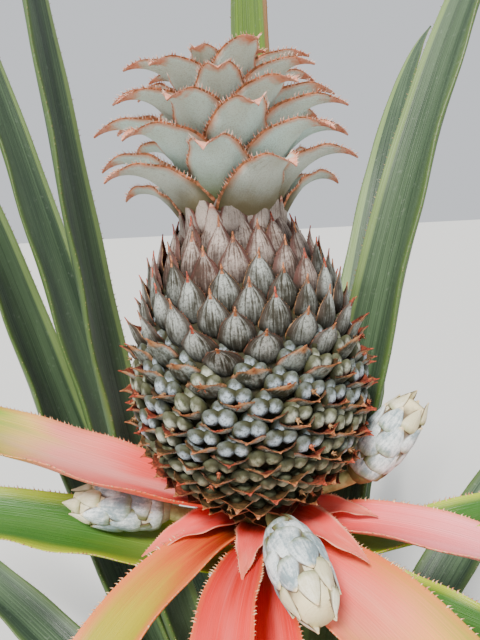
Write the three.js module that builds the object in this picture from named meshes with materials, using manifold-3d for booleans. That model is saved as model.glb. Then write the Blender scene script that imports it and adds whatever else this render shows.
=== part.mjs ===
// Pineapple plant with a young fruit: stem, rosette of long leaves, leaning flower stalk with red bracts,
// fruit with its crown, and the slips under the fruit. Millimetres, +Z up, origin at the foot of the stem.
import * as THREE from 'three';
import { ConvexGeometry } from 'three/addons/geometries/ConvexGeometry.js';
import { mergeVertices } from 'three/addons/utils/BufferGeometryUtils.js';
import Module from 'manifold-3d';

const wasm = await Module();
wasm.setup();

// Growth rule: each new leaf, bract, scale or fruitlet turns by this angle from the one before
const GOLDEN_ANGLE = 137.508;
// Clear gap between solids that touch on the real plant
const GAP = 0.3;
// Steps along a leaf's path, and rings of its mesh, by kind
const PATH_STEPS = 60;
const RINGS = { leaf: 7, bract: 5, collar: 3, crown: 3, slip: 2 };

// Stem: a short cone in the ground's plane, with a flared foot
const STEM_HEIGHT = 210;
const STEM_FOOT_RADIUS = 34;
const STEM_TOP_RADIUS = 23;
const FOOT_FLARE = 8;
const FOOT_FLARE_HEIGHT = 28;
const STEM_SIDES = 24;

// Head: the stalk, fruit and crown lean together from the top of the stem, towards -X
const HEAD_LEAN = 2.8;
const STALK_RADIUS = 14;
const STALK_SEAT_CLEARANCE = 1;
const STALK_FLARE_HEIGHT = 42;
const STALK_FLARE_RADIUS = 25;
const STALK_SIDES = 16;

// Fruit: two half ellipses that meet at its widest ring, measured over the fruitlets' scales
const FRUIT_BASE = 431;
const FRUIT_HEIGHT = 160;
const FRUIT_RADIUS = 70.5;
const FRUIT_WIDEST = 0.4;
const FRUIT_BELOW = 0.464;
const FRUIT_ABOVE = 0.702;
const FRUITLET_COUNT = 300;
const FRUITLET_HEIGHT = 8;
const FRUITLET_DRAWN_UP = 3;
const FRUIT_SEAT_RADIUS = 28;
const FRUIT_TOP_RADIUS = 33;
const FRUIT_END_SIDES = 16;

// Crown: leaves on a tapering core on top of the fruit
const CROWN_HEIGHT = 84;
const CROWN_CORE_RADIUS = 30;
const CROWN_CORE_TOP_RADIUS = 5;
const CROWN_CORE_SIDES = 12;
const CROWN_LEAF_COUNT = 38;
// Share of the crown's height where its leaves are longest
const CROWN_FULLEST = 0.35;
const CROWN_LEAF_LENGTH = 70;
const CROWN_LEAF_WIDTH = 52;
// How much they shorten away from there, the less the higher up, and how much they narrow
const CROWN_SHORTENING = 46;
const CROWN_NARROWING = 16;
// Seats stay in the lower part of the core, and the newest leaf's share of the height
const CROWN_SEATED_SHARE = 0.72;
const CROWN_TOP_SHARE = 0.8;
const CROWN_FIRST_AZIMUTH = 20;
const CROWN_LOWEST_SEAT = 3;
// How deep a leaf's or scale's foot goes into what carries it
const ROOTED = 1;
const SCALE_SIDES = 4;

// Slips: scaly buds on short stalks under the fruit
const SLIP_LENGTH = 66;
const SLIP_RADIUS = 15.5;
const SLIP_WIDEST = 0.45;
const SLIP_SCALE_COUNT = 8;
const SLIP_LOWEST_SCALE = 0.12;
const SLIP_HIGHEST_SCALE = 0.62;
const SLIP_BODY_TOP = 0.95;
const SLIP_BODY_SIDES = 8;
const SLIP_STALK_RADIUS = 5;

// Rosette: long leaves up the stem, the newest at the top
const LEAF_COUNT = 28;
const LEAF_TOP_SEAT = 187;
const LEAF_SPACING = 6.2;
const LEAF_FIRST_AZIMUTH = 22;
const LEAF_WIDTH = 56;
const LEAF_THICKNESS_SHARE = 0.01;
const LEAF_SIDES = 8;

// Long bracts on the flower stalk, and the short collar bracts right under the fruit
const BRACT_COUNT = 15;
const BRACT_TOP_SEAT = 406;
const BRACT_SPACING = 2.6;
const BRACT_FIRST_AZIMUTH = 315;
const BRACT_SIDES = 6;
const COLLAR_COUNT = 7;
const COLLAR_SEAT = 414;
const COLLAR_SPACING = 0.9;
const COLLAR_FIRST_AZIMUTH = 308;

const degrees = THREE.MathUtils.degToRad;
const mix = THREE.MathUtils.lerp;

const MATERIALS = {
  leaf: new THREE.MeshStandardMaterial({ color: 0x5c8268, roughness: 0.5 }),
  bract: new THREE.MeshStandardMaterial({ color: 0xe8706a, roughness: 0.45 }),
  fruit: new THREE.MeshStandardMaterial({ color: 0x8a8578, roughness: 0.7 }),
  crown: new THREE.MeshStandardMaterial({ color: 0xc3c3b8, roughness: 0.65 }),
  slip: new THREE.MeshStandardMaterial({ color: 0xc9cdc6, roughness: 0.6 }),
  stem: new THREE.MeshStandardMaterial({ color: 0x8d8466, roughness: 0.85 }),
};

// Closed geometry with shared vertices and positions only
function welded(geometry) {
  const plain = geometry.clone();
  plain.deleteAttribute('normal');
  plain.deleteAttribute('uv');
  return mergeVertices(plain, 1e-4);
}

function solid(geometry) {
  const closed = welded(geometry);
  return new wasm.Manifold(new wasm.Mesh({
    numProp: 3,
    vertProperties: new Float32Array(closed.attributes.position.array),
    triVerts: new Uint32Array(closed.index.array),
  }));
}

function geometryOf(manifold) {
  const mesh = manifold.getMesh();
  const geometry = new THREE.BufferGeometry();
  geometry.setAttribute('position', new THREE.BufferAttribute(mesh.vertProperties, 3));
  geometry.setIndex(new THREE.BufferAttribute(mesh.triVerts, 1));
  return geometry;
}

// Joins solids in pairs, so that each join stays small
function fused(solids) {
  let level = solids;
  while (level.length > 1) {
    const next = [];
    for (let i = 0; i < level.length; i += 2) {
      next.push(i + 1 < level.length ? level[i].add(level[i + 1]) : level[i]);
    }
    level = next;
  }
  return level[0];
}

function named(name, geometry, material) {
  const mesh = new THREE.Mesh(geometry, material);
  mesh.name = name;
  return mesh;
}

function numbered(stem, index) {
  return `${stem}_${String(index + 1).padStart(2, '0')}`;
}

// Lathe turned to stand along Z
function turned(points, segments) {
  const profile = points.map(([radius, height]) => new THREE.Vector2(radius, height));
  return new THREE.LatheGeometry(profile, segments).rotateX(Math.PI / 2);
}

// Lean from the vertical at a share s of the length, through its values at base, middle and tip
function leanAt(leans, s) {
  const [base, middle, tip] = leans;
  return degrees(base * (1 - s) * (1 - 2 * s) + middle * 4 * s * (1 - s) + tip * s * (2 * s - 1));
}

// Frames along a leaf that starts at a seat on its carrier and leans out over its length
function leafPath(leaf) {
  const steps = PATH_STEPS;
  const start = degrees(leaf.azimuth);
  const point = new THREE.Vector3(leaf.radius * Math.cos(start), leaf.radius * Math.sin(start), leaf.seat);
  const frames = [];
  const heading = (s) => {
    const lean = leanAt(leaf.leans, s);
    const azimuth = degrees(leaf.azimuth + leaf.turn * s);
    return new THREE.Vector3(
      Math.sin(lean) * Math.cos(azimuth), Math.sin(lean) * Math.sin(azimuth), Math.cos(lean));
  };
  for (let i = 0; i <= steps; i += 1) {
    const s = i / steps;
    if (i > 0) {
      const before = heading((i - 1) / steps);
      point.addScaledVector(before.add(heading(s)), leaf.length / steps / 2);
    }
    const azimuth = degrees(leaf.azimuth + leaf.turn * s);
    const side = new THREE.Vector3(-Math.sin(azimuth), Math.cos(azimuth), 0);
    const face = new THREE.Vector3().crossVectors(heading(s), side);
    const twist = degrees(leaf.roll) * s;
    frames.push({
      point: point.clone(),
      side: side.clone().multiplyScalar(Math.cos(twist)).addScaledVector(face, Math.sin(twist)),
      face: face.clone().multiplyScalar(Math.cos(twist)).addScaledVector(side, -Math.sin(twist)),
    });
  }
  return frames;
}

function widthAt(leaf, s) {
  const grown = Math.sin(Math.min(s / leaf.growth, 1) * Math.PI / 2);
  const tapered = Math.pow(Math.max(1 - Math.pow(s, leaf.taper), 0), 0.9);
  return Math.max(leaf.width * mix(leaf.foot, 1, grown) * tapered, leaf.tip);
}

// A leaf is thin where it clasps its carrier, thickest in its lower half and thin at its tip
function thicknessShare(s) {
  return mix(0.6, 1, Math.sin(Math.min(s / 0.2, 1) * Math.PI / 2)) * mix(1, 0.25, s * s);
}

// Spot on a leaf's skin: a share of the length, a place across from -1 to 1, and a side from -1 to 1
function leafSpot(leaf, frames, s, across, outwards) {
  const frame = frames[Math.round(s * (frames.length - 1))];
  const half = degrees(mix(leaf.channel[0], leaf.channel[1], s));
  const bend = widthAt(leaf, s) / (2 * half);
  const reach = bend + leaf.thickness * thicknessShare(s) / 2 * outwards;
  return frame.point.clone()
    .addScaledVector(frame.side, reach * Math.sin(half * across))
    .addScaledVector(frame.face, bend - reach * Math.cos(half * across));
}

// A leaf is a cylinder of lens section that is bent along its path and rolled to a channel
function leafGeometry(leaf, sides, steps) {
  const geometry = new THREE.CylinderGeometry(1, 1, 1, sides, steps);
  const frames = leafPath(leaf);
  const position = geometry.attributes.position;
  for (let i = 0; i < position.count; i += 1) {
    const spot = leafSpot(leaf, frames, position.getY(i) + 0.5, position.getX(i), position.getZ(i));
    position.setXYZ(i, spot.x, spot.y, spot.z);
  }
  return welded(geometry);
}

// Distance from the axis at which all of a leaf's foot, with the flats of its section, clears its carrier
function seatRadius(leaf, sides, carrierRadius) {
  const samples = 4;
  let radius = carrierRadius(leaf.seat);
  for (let pass = 0; pass < 3; pass += 1) {
    const frames = leafPath({ ...leaf, radius });
    let clear = Infinity;
    for (let i = 0; i < sides; i += 1) {
      const [from, to] = [i, i + 1].map((corner) => 2 * Math.PI * corner / sides)
        .map((turn) => leafSpot(leaf, frames, 0, Math.sin(turn), Math.cos(turn)));
      for (let k = 0; k < samples; k += 1) {
        const spot = from.clone().lerp(to, k / samples);
        clear = Math.min(clear, Math.hypot(spot.x, spot.y) - carrierRadius(spot.z));
      }
    }
    radius += GAP - clear;
  }
  return radius;
}

function stemRadius(height) {
  const taper = mix(STEM_FOOT_RADIUS, STEM_TOP_RADIUS, height / STEM_HEIGHT);
  const flare = Math.max(1 - height / FOOT_FLARE_HEIGHT, 0);
  return taper + FOOT_FLARE * flare * flare;
}

function stem() {
  const heights = [0, 0.2, 0.4, 0.6, 0.8, 1].map((share) => share * FOOT_FLARE_HEIGHT);
  heights.push(STEM_HEIGHT);
  const outline = heights.map((height) => [stemRadius(height), height]);
  return named('stem', welded(turned([[0, 0], ...outline, [0, STEM_HEIGHT]], STEM_SIDES)), MATERIALS.stem);
}

// Long leaves lean more with age, and the side that faces -Y, where the rosette has been opened, more again
function leafHabit(index) {
  const age = index / (LEAF_COUNT - 1);
  const azimuth = LEAF_FIRST_AZIMUTH - GOLDEN_ANGLE * index;
  const front = Math.max(-Math.sin(degrees(azimuth)), 0);
  return {
    azimuth,
    seat: LEAF_TOP_SEAT - LEAF_SPACING * index,
    length: mix(760, 860, Math.sin(Math.PI * Math.min(age * 1.2, 1))) - 180 * age * age,
    width: LEAF_WIDTH,
    leans: [mix(28, 58, age) + 12 * front, mix(56, 76, age) + 18 * front, mix(88, 99, age)],
    turn: 0,
    roll: 0,
  };
}

// Leaves that stand in plain view and have a bearing of their own
const SEEN_LEAVES = {
  0: { azimuth: 32, length: 900, width: 56, foot: 0.6, leans: [8, 21, 54], turn: -3 },
  2: { azimuth: 90, length: 800, width: 49, foot: 0.65, leans: [20, 2, 10] },
  4: { azimuth: 158, length: 860, width: 51, leans: [28, 6, 17], roll: 12 },
  5: { azimuth: 59, length: 800, leans: [26, 26, 61], turn: -3 },
  7: { azimuth: 150, length: 880, width: 57, leans: [30, 16, 31], roll: 13 },
  12: { azimuth: 157, length: 860, width: 62, leans: [36, 17, 45], roll: 11 },
};

function longLeaf(index) {
  const form = { foot: 0.85, growth: 0.35, taper: 2.2, tip: 2.5, channel: [60, 30] };
  const leaf = { ...form, ...leafHabit(index), ...SEEN_LEAVES[index] };
  leaf.thickness = leaf.length * LEAF_THICKNESS_SHARE;
  leaf.radius = seatRadius(leaf, LEAF_SIDES, stemRadius);
  return named(numbered('leaf', index), leafGeometry(leaf, LEAF_SIDES, RINGS.leaf), MATERIALS.leaf);
}

function stalkRadius(height) {
  const up = Math.max((height - FRUIT_BASE + STALK_FLARE_HEIGHT) / STALK_FLARE_HEIGHT, 0);
  return mix(STALK_RADIUS, STALK_FLARE_RADIUS, up * up);
}

function flowerStalk() {
  const top = FRUIT_BASE - GAP;
  const outline = [[STALK_RADIUS, STEM_HEIGHT + STALK_SEAT_CLEARANCE]];
  for (const share of [1, 0.8, 0.6, 0.4, 0.2, 0]) {
    const height = top - share * STALK_FLARE_HEIGHT;
    outline.push([stalkRadius(height), height]);
  }
  const points = [[0, outline[0][1]], ...outline, [0, top]];
  return named('flower_stalk', welded(turned(points, STALK_SIDES)), MATERIALS.stem);
}

function bractHabit(index) {
  const age = index / (BRACT_COUNT - 1);
  return {
    azimuth: BRACT_FIRST_AZIMUTH - GOLDEN_ANGLE * index,
    seat: BRACT_TOP_SEAT - BRACT_SPACING * index,
    length: mix(300, 340, age),
    width: 50,
    leans: [76, 86, 96],
    turn: 0,
    roll: 0,
  };
}

// Bracts that stand in plain view, and short ones where a long leaf passes close to the stalk
const SEEN_BRACTS = {
  0: { azimuth: 301, seat: 392, length: 340, width: 65, leans: [74, 104, 94], turn: -6 },
  1: { azimuth: 187, seat: 418, length: 330, width: 68, leans: [70, 61, 82], turn: -3, roll: -3 },
  2: { azimuth: 40, seat: 394, length: 44 },
  3: { azimuth: 252, seat: 397, length: 300, width: 34, leans: [72, 95, 111], turn: 40, roll: 5 },
  4: { azimuth: 122, length: 300, width: 40, leans: [83, 90, 98] },
  5: { azimuth: 342, seat: 401, length: 330, width: 45, leans: [76, 107, 87], turn: -5 },
  6: { azimuth: 223, seat: 406, length: 340, width: 44, leans: [74, 122, 104], turn: 27, roll: 8 },
  7: { length: 44 },
  8: { azimuth: 270, seat: 382, length: 300, width: 32, leans: [84, 95, 99], turn: -2 },
  9: { azimuth: 148, length: 40 },
  10: { azimuth: 354, seat: 370, length: 320, width: 40, leans: [80, 76, 92], turn: 4 },
  11: { azimuth: 246, seat: 362, length: 160, leans: [88, 104, 112] },
  12: { length: 50 },
  13: { azimuth: 325, seat: 377, length: 190, width: 40, leans: [84, 92, 100] },
  14: { azimuth: 183, seat: 367, length: 330, width: 60, leans: [67, 74, 96], turn: -4, roll: -24 },
};

function bract(index) {
  const leaf = { ...bractHabit(index), ...SEEN_BRACTS[index] };
  leaf.thickness = leaf.length * LEAF_THICKNESS_SHARE;
  Object.assign(leaf, { foot: 0.48, growth: 0.3, taper: 1.9, tip: 2, channel: [46, 26] });
  return standOnStalk(numbered('bract', index), leaf, RINGS.bract);
}

const SEEN_COLLAR = {
  0: { azimuth: 311 },
  2: { azimuth: 207, length: 64, width: 34 },
  3: { azimuth: 344, width: 30 },
  5: { azimuth: 257, seat: 411, length: 46, width: 26 },
};

function collarBract(index) {
  const azimuth = COLLAR_FIRST_AZIMUTH + GOLDEN_ANGLE * index;
  const leaf = {
    azimuth,
    seat: COLLAR_SEAT - COLLAR_SPACING * index,
    length: 56 - 10 * Math.sin(degrees(azimuth)),
    width: 34,
    leans: [74, 90, 110],
    turn: 0,
    roll: 0,
    thickness: 1.8,
    foot: 0.65,
    growth: 0.3,
    taper: 1.4,
    tip: 1.2,
    channel: [38, 26],
    ...SEEN_COLLAR[index],
  };
  return standOnStalk(numbered('collar_bract', index), leaf, RINGS.collar);
}

function standOnStalk(name, leaf, steps) {
  leaf.radius = seatRadius(leaf, BRACT_SIDES, stalkRadius);
  leaf.seat -= STEM_HEIGHT;
  return named(name, leafGeometry(leaf, BRACT_SIDES, steps), MATERIALS.bract);
}

// Radius of the fruit over its scales at a share of its height
function fruitRadius(share) {
  const from = share - FRUIT_WIDEST;
  const reach = from < 0 ? FRUIT_BELOW : FRUIT_ABOVE;
  return FRUIT_RADIUS * Math.sqrt(1 - (from / reach) ** 2);
}

// Heights of the fruitlets, spaced so that each has the same share of the fruit's skin
function fruitletShares() {
  const slices = 400;
  const sums = [0];
  for (let i = 0; i < slices; i += 1) {
    const low = fruitRadius(i / slices);
    const high = fruitRadius((i + 1) / slices);
    const slope = Math.hypot(FRUIT_HEIGHT / slices, high - low);
    sums.push(sums[i] + (low + high) / 2 * slope);
  }
  const shares = [];
  let slice = 0;
  for (let i = 0; i < FRUITLET_COUNT; i += 1) {
    const wanted = sums[slices] * (i + 0.5) / FRUITLET_COUNT;
    while (sums[slice + 1] < wanted) slice += 1;
    shares.push((slice + (wanted - sums[slice]) / (sums[slice + 1] - sums[slice])) / slices);
  }
  return shares;
}

// Tips of the fruitlets by the growth rule, with the rings that close the fruit's flat ends
function fruitPoints() {
  const points = fruitletShares().map((share, index) => {
    const turn = degrees(GOLDEN_ANGLE * index);
    const radius = fruitRadius(share);
    const height = share * FRUIT_HEIGHT + FRUITLET_DRAWN_UP * (1 - share);
    return new THREE.Vector3(radius * Math.cos(turn), radius * Math.sin(turn), height);
  });
  for (const [radius, height] of [[FRUIT_SEAT_RADIUS, 0], [FRUIT_TOP_RADIUS, FRUIT_HEIGHT]]) {
    for (let i = 0; i < FRUIT_END_SIDES; i += 1) {
      const turn = 2 * Math.PI * i / FRUIT_END_SIDES;
      points.push(new THREE.Vector3(radius * Math.cos(turn), radius * Math.sin(turn), height));
    }
  }
  return points;
}

// The hull of the tips joins each to its neighbours. Each hull triangle gets a low point where three
// fruitlets meet, and the low points are joined across the hull's edges, so each tip tops a pyramid
function fruit() {
  const hull = welded(new ConvexGeometry(fruitPoints()));
  const vertices = [];
  for (let i = 0; i < hull.attributes.position.count; i += 1) {
    vertices.push(new THREE.Vector3().fromBufferAttribute(hull.attributes.position, i));
  }
  const triangles = [];
  const owner = new Map();
  for (let i = 0; i < hull.index.count; i += 3) {
    const corners = [0, 1, 2].map((k) => hull.index.getX(i + k));
    corners.forEach((corner, k) => owner.set(`${corner} ${corners[(k + 1) % 3]}`, triangles.length));
    const heights = corners.map((corner) => vertices[corner].z);
    const flat = Math.max(...heights) - Math.min(...heights) < 1e-3;
    triangles.push({ corners, flat, valley: vertices.length });
    const low = new THREE.Vector3();
    corners.forEach((corner) => low.addScaledVector(vertices[corner], 1 / 3));
    const radius = Math.hypot(low.x, low.y);
    const inwards = flat ? 1 : Math.max(radius - FRUITLET_HEIGHT, 1) / radius;
    vertices.push(new THREE.Vector3(low.x * inwards, low.y * inwards, low.z));
  }
  const faces = [];
  for (const triangle of triangles) {
    if (triangle.flat) faces.push(...triangle.corners);
    for (let k = 0; k < 3 && !triangle.flat; k += 1) {
      const from = triangle.corners[k];
      const to = triangle.corners[(k + 1) % 3];
      const beyond = triangles[owner.get(`${to} ${from}`)];
      faces.push(from, beyond.flat ? to : beyond.valley, triangle.valley);
    }
  }
  const geometry = new THREE.BufferGeometry();
  geometry.setAttribute('position', new THREE.BufferAttribute(
    new Float32Array(vertices.flatMap((vertex) => vertex.toArray())), 3));
  geometry.setIndex(faces);
  return named('fruit', welded(geometry), MATERIALS.fruit);
}

function crownCoreRadius(share) {
  return mix(CROWN_CORE_RADIUS, CROWN_CORE_TOP_RADIUS, Math.pow(share, 0.8));
}

function crownLeaf(index) {
  const share = CROWN_TOP_SHARE * index / (CROWN_LEAF_COUNT - 1);
  const fromFullest = Math.abs(share - CROWN_FULLEST);
  return {
    azimuth: CROWN_FIRST_AZIMUTH + GOLDEN_ANGLE * index,
    seat: CROWN_LOWEST_SEAT + CROWN_SEATED_SHARE * share * CROWN_HEIGHT,
    radius: crownCoreRadius(share) - ROOTED,
    length: CROWN_LEAF_LENGTH - CROWN_SHORTENING * (1 - share) * fromFullest,
    width: CROWN_LEAF_WIDTH - CROWN_NARROWING * fromFullest,
    leans: [mix(34, 18, share), mix(58, 46, share), mix(132, 112, share)],
    turn: 0,
    roll: 0,
    thickness: 2,
    foot: 0.85,
    growth: 0.3,
    taper: 1.5,
    tip: 0.8,
    channel: [42, 24],
  };
}

function crown() {
  const outline = [0, 0.35, 0.7, 1].map((share) => [crownCoreRadius(share), share * CROWN_HEIGHT]);
  const core = solid(turned([[0, 0], ...outline, [0, CROWN_HEIGHT]], CROWN_CORE_SIDES));
  const leaves = [];
  for (let i = 0; i < CROWN_LEAF_COUNT; i += 1) {
    leaves.push(solid(leafGeometry(crownLeaf(i), SCALE_SIDES, RINGS.crown)));
  }
  return named('crown', geometryOf(fused([core, ...leaves])), MATERIALS.crown);
}

// A slip points along +Z here: a spindle with overlapping scales on a bent stalk
function slipScale(index) {
  const share = index / (SLIP_SCALE_COUNT - 1);
  const up = mix(SLIP_LOWEST_SCALE, SLIP_HIGHEST_SCALE, share);
  return {
    azimuth: GOLDEN_ANGLE * index,
    seat: up * SLIP_LENGTH,
    radius: slipRadius(up) - ROOTED,
    length: mix(24, 27, share),
    width: mix(24, 14, share),
    leans: [mix(24, -2, share), mix(4, -10, share), mix(-6, 6, share)],
    turn: 0,
    roll: 0,
    thickness: 1.6,
    foot: 0.9,
    growth: 0.3,
    taper: 1.6,
    tip: 0.8,
    channel: [55, 40],
  };
}

function slipRadius(share) {
  const reach = share < SLIP_WIDEST ? 0.5 : 0.6;
  return SLIP_RADIUS * Math.sqrt(Math.max(1 - ((share - SLIP_WIDEST) / reach) ** 2, 0));
}

function slipBody() {
  const shares = [0, 0.15, 0.4, 0.7, SLIP_BODY_TOP];
  const outline = shares.map((share) => [slipRadius(share), share * SLIP_LENGTH]);
  const body = turned([[0, 0], ...outline, [0, SLIP_BODY_TOP * SLIP_LENGTH]], SLIP_BODY_SIDES);
  const parts = [solid(body)];
  for (let i = 0; i < SLIP_SCALE_COUNT; i += 1) {
    parts.push(solid(leafGeometry(slipScale(i), SCALE_SIDES, RINGS.slip)));
  }
  return fused(parts);
}

// Slips round the stalk: bearing, height where the slip's stalk leaves the flower stalk, then the distance
// out and the height where the slip's body starts, and its rise above the level
const SLIPS = [
  { azimuth: 180, seat: 407, start: 60, height: 416, elevation: 12 },
  { azimuth: 281, seat: 422, start: 46, height: 428, elevation: 0 },
  { azimuth: 358, seat: 422.5, start: 61, height: 428, elevation: 50 },
  { azimuth: 118, seat: 421, start: 48, height: 428, elevation: 16 },
];

function slip({ azimuth, seat, start, height, elevation }, index) {
  const body = slipBody()
    .rotate([0, 90 - elevation, 0])
    .translate([start, 0, height - STEM_HEIGHT]);
  const from = stalkRadius(seat + SLIP_STALK_RADIUS) + 2 * GAP;
  const level = seat - STEM_HEIGHT;
  const route = new THREE.QuadraticBezierCurve3(
    new THREE.Vector3(from, 0, level),
    new THREE.Vector3((from + start) / 2 + 4, 0, level),
    new THREE.Vector3(start + 6, 0, height - STEM_HEIGHT + 6 * Math.sin(degrees(elevation))));
  const section = new THREE.Shape().absarc(0, 0, SLIP_STALK_RADIUS, 0, 2 * Math.PI);
  const stalk = new THREE.ExtrudeGeometry(section, { extrudePath: route, steps: 3, curveSegments: 3 });
  const whole = body.add(solid(stalk)).rotate([0, 0, azimuth]);
  return named(`slip_${index + 1}`, geometryOf(whole), MATERIALS.slip);
}

const plant = new THREE.Group();
plant.add(stem());
for (let i = 0; i < LEAF_COUNT; i += 1) plant.add(longLeaf(i));

const head = new THREE.Group();
head.position.z = STEM_HEIGHT;
head.rotation.y = -degrees(HEAD_LEAN);
const stalk = flowerStalk();
stalk.position.z = -STEM_HEIGHT;
head.add(stalk);
for (let i = 0; i < BRACT_COUNT; i += 1) head.add(bract(i));
for (let i = 0; i < COLLAR_COUNT; i += 1) head.add(collarBract(i));
const fruitMesh = fruit();
fruitMesh.position.z = FRUIT_BASE - STEM_HEIGHT;
head.add(fruitMesh);
const crownMesh = crown();
crownMesh.position.z = FRUIT_BASE + FRUIT_HEIGHT + GAP - STEM_HEIGHT;
head.add(crownMesh);
SLIPS.forEach((place, index) => head.add(slip(place, index)));
plant.add(head);

export default plant;
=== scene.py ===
"""Dresses a pineapple plant: long spined leaves, red bracts, scaly fruit, leafy crown and slips.

The plant's own sizes are in millimetres, as its solids were drawn, and meshes are written in metres.
"""

from __future__ import annotations

import logging
import math
from dataclasses import dataclass, replace
from enum import Enum, IntEnum
from typing import Callable, Sequence

import bpy
import numpy as np
from mathutils import Matrix, Vector

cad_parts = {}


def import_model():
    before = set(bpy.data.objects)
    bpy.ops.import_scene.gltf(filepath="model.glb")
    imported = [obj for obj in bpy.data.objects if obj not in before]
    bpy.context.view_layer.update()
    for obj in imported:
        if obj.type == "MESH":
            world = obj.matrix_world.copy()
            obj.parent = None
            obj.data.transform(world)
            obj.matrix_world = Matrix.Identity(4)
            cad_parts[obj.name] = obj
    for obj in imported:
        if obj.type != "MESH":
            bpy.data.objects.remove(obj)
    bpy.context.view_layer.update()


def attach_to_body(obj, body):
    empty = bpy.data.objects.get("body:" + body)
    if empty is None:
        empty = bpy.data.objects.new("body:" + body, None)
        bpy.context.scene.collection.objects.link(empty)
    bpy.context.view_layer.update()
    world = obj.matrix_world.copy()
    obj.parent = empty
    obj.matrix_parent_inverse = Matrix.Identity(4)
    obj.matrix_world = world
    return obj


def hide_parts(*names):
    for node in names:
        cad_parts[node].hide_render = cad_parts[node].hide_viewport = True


LOG = logging.getLogger("pineapple")

MM = 0.001
SEED = 7

# Growth rule of the whole plant: each new leaf, scale or fruitlet turns by this angle
GOLDEN_ANGLE = 137.508

# Air between a foot and its carrier, steps along a blade, and where across it the margin starts
GAP = 0.3
PATH_STEPS = 480
MARGIN_FROM = 0.94

# Thickness of a long blade to its length, and a start of the tip's finish for blades without one
LONG_THICKNESS = 0.01
NO_TIP = 2.0

# Carriers: the stem, and the stalk above it that leans with the whole head
STEM_HEIGHT = 210.0
STEM_FOOT_RADIUS = 34.0
STEM_TOP_RADIUS = 23.0
FOOT_FLARE = 8.0
FOOT_FLARE_HEIGHT = 28.0
HEAD_LEAN = 2.8
STALK_RADIUS = 14.0
STALK_FLARE_RADIUS = 25.0
STALK_FLARE_HEIGHT = 42.0

# Fruit: two half ellipses that meet at the widest ring, and the even spread of its fruitlets
FRUIT_BASE = 431.0
FRUIT_HEIGHT = 160.0
FRUIT_RADIUS = 70.5
FRUIT_WIDEST = 0.4
FRUIT_BELOW = 0.464
FRUIT_ABOVE = 0.702
FRUITLET_COUNT = 300
FRUITLET_DRAWN_UP = 3.0

# Crown on top of the fruit
CROWN_HEIGHT = 84.0
CROWN_CORE_RADIUS = 30.0
CROWN_CORE_TOP_RADIUS = 5.0
CROWN_FULLEST = 0.35

# Slips under the fruit
SLIP_LENGTH = 66.0
SLIP_RADIUS = 15.5
SLIP_WIDEST = 0.45

# A display colour from 0 to 255, a run of such colours, and a radius by height
Color = tuple[int, int, int]
Stops = tuple[tuple[float, Color], ...]
Carrier = Callable[[float], float]


def mix(low: float, high: float, share: float) -> float:
    """Value at a share of the way from low to high."""
    return low + (high - low) * share


def past(value: float, start: float, reach: float) -> float:
    """How far a value is past a start, as a share of a reach, from 0 to 1."""
    return min(max((value - start) / reach, 0.0), 1.0)


def linear(color: Color) -> tuple[float, ...]:
    """Linear values of a display colour, and 1 for its cover."""
    shares = [value / 255 for value in color]
    return (*(low / 12.92 if low <= 0.04045 else ((low + 0.055) / 1.055) ** 2.4 for low in shares), 1.0)


def stem_radius(height: float) -> float:
    """Radius of the stem at a height above the ground."""
    flare = max(1 - height / FOOT_FLARE_HEIGHT, 0)
    return mix(STEM_FOOT_RADIUS, STEM_TOP_RADIUS, height / STEM_HEIGHT) + FOOT_FLARE * flare**2


def stalk_radius(height: float) -> float:
    """Radius of the flower stalk at a height above the ground."""
    rise = max((height - FRUIT_BASE + STALK_FLARE_HEIGHT) / STALK_FLARE_HEIGHT, 0)
    return mix(STALK_RADIUS, STALK_FLARE_RADIUS, rise**2)


def fruit_radius(share: float) -> float:
    """Radius over the fruit's scales at a share of its height."""
    away = share - FRUIT_WIDEST
    reach = FRUIT_BELOW if away < 0 else FRUIT_ABOVE
    return FRUIT_RADIUS * math.sqrt(1 - (away / reach) ** 2)


def rotation(degrees: float, axis: str) -> Matrix:
    """Matrix of a turn about an axis."""
    return Matrix.Rotation(math.radians(degrees), 4, axis)


def head_place() -> np.ndarray:
    """Matrix that leans the head over from the top of the stem."""
    turn = rotation(-HEAD_LEAN, "Y")
    top = Matrix.Translation((0, 0, STEM_HEIGHT))
    return np.array(top @ turn @ top.inverted())


def moved(corners: np.ndarray, place: np.ndarray) -> np.ndarray:
    """Corners after a matrix."""
    return corners @ place[:3, :3].T + place[:3, 3]


@dataclass(frozen=True)
class Template:
    """Corners, faces and skin coordinates of a shape that is modelled once and copied many times."""

    corners: np.ndarray
    faces: list[np.ndarray]
    skin: np.ndarray

    @staticmethod
    def from_active(skin_axes: tuple[int, int] = (0, 1)) -> Template:
        """Leaves edit mode, takes the active object's mesh as arrays and removes the object.

        Args:
            skin_axes: The two axes that serve as skin coordinates.

        Returns:
            The template.
        """
        bpy.ops.object.mode_set(mode="OBJECT")
        piece = bpy.context.object
        mesh = piece.data
        corners = np.zeros(len(mesh.vertices) * 3)
        mesh.vertices.foreach_get("co", corners)
        corners = corners.reshape(-1, 3)
        by_size: dict[int, list[list[int]]] = {}
        for polygon in mesh.polygons:
            by_size.setdefault(len(polygon.vertices), []).append(list(polygon.vertices))
        faces = [np.array(rows) for rows in by_size.values()]
        bpy.data.objects.remove(piece)
        bpy.data.meshes.remove(mesh)
        return Template(corners, faces, corners[:, list(skin_axes)] / 2 + 0.5)


def start_shape(add: Callable, height: float = 0.0, **sizes: float) -> None:
    """Adds a primitive with all else deselected, and opens it in edit mode, selected all over.

    Args:
        add: The operator that adds it.
        height: Height of its middle.
        sizes: Its sizes and counts.
    """
    bpy.ops.object.select_all(action="DESELECT")
    add(location=(0, 0, height), **sizes)
    bpy.ops.object.mode_set(mode="EDIT")
    bpy.ops.mesh.select_all(action="SELECT")


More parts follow.
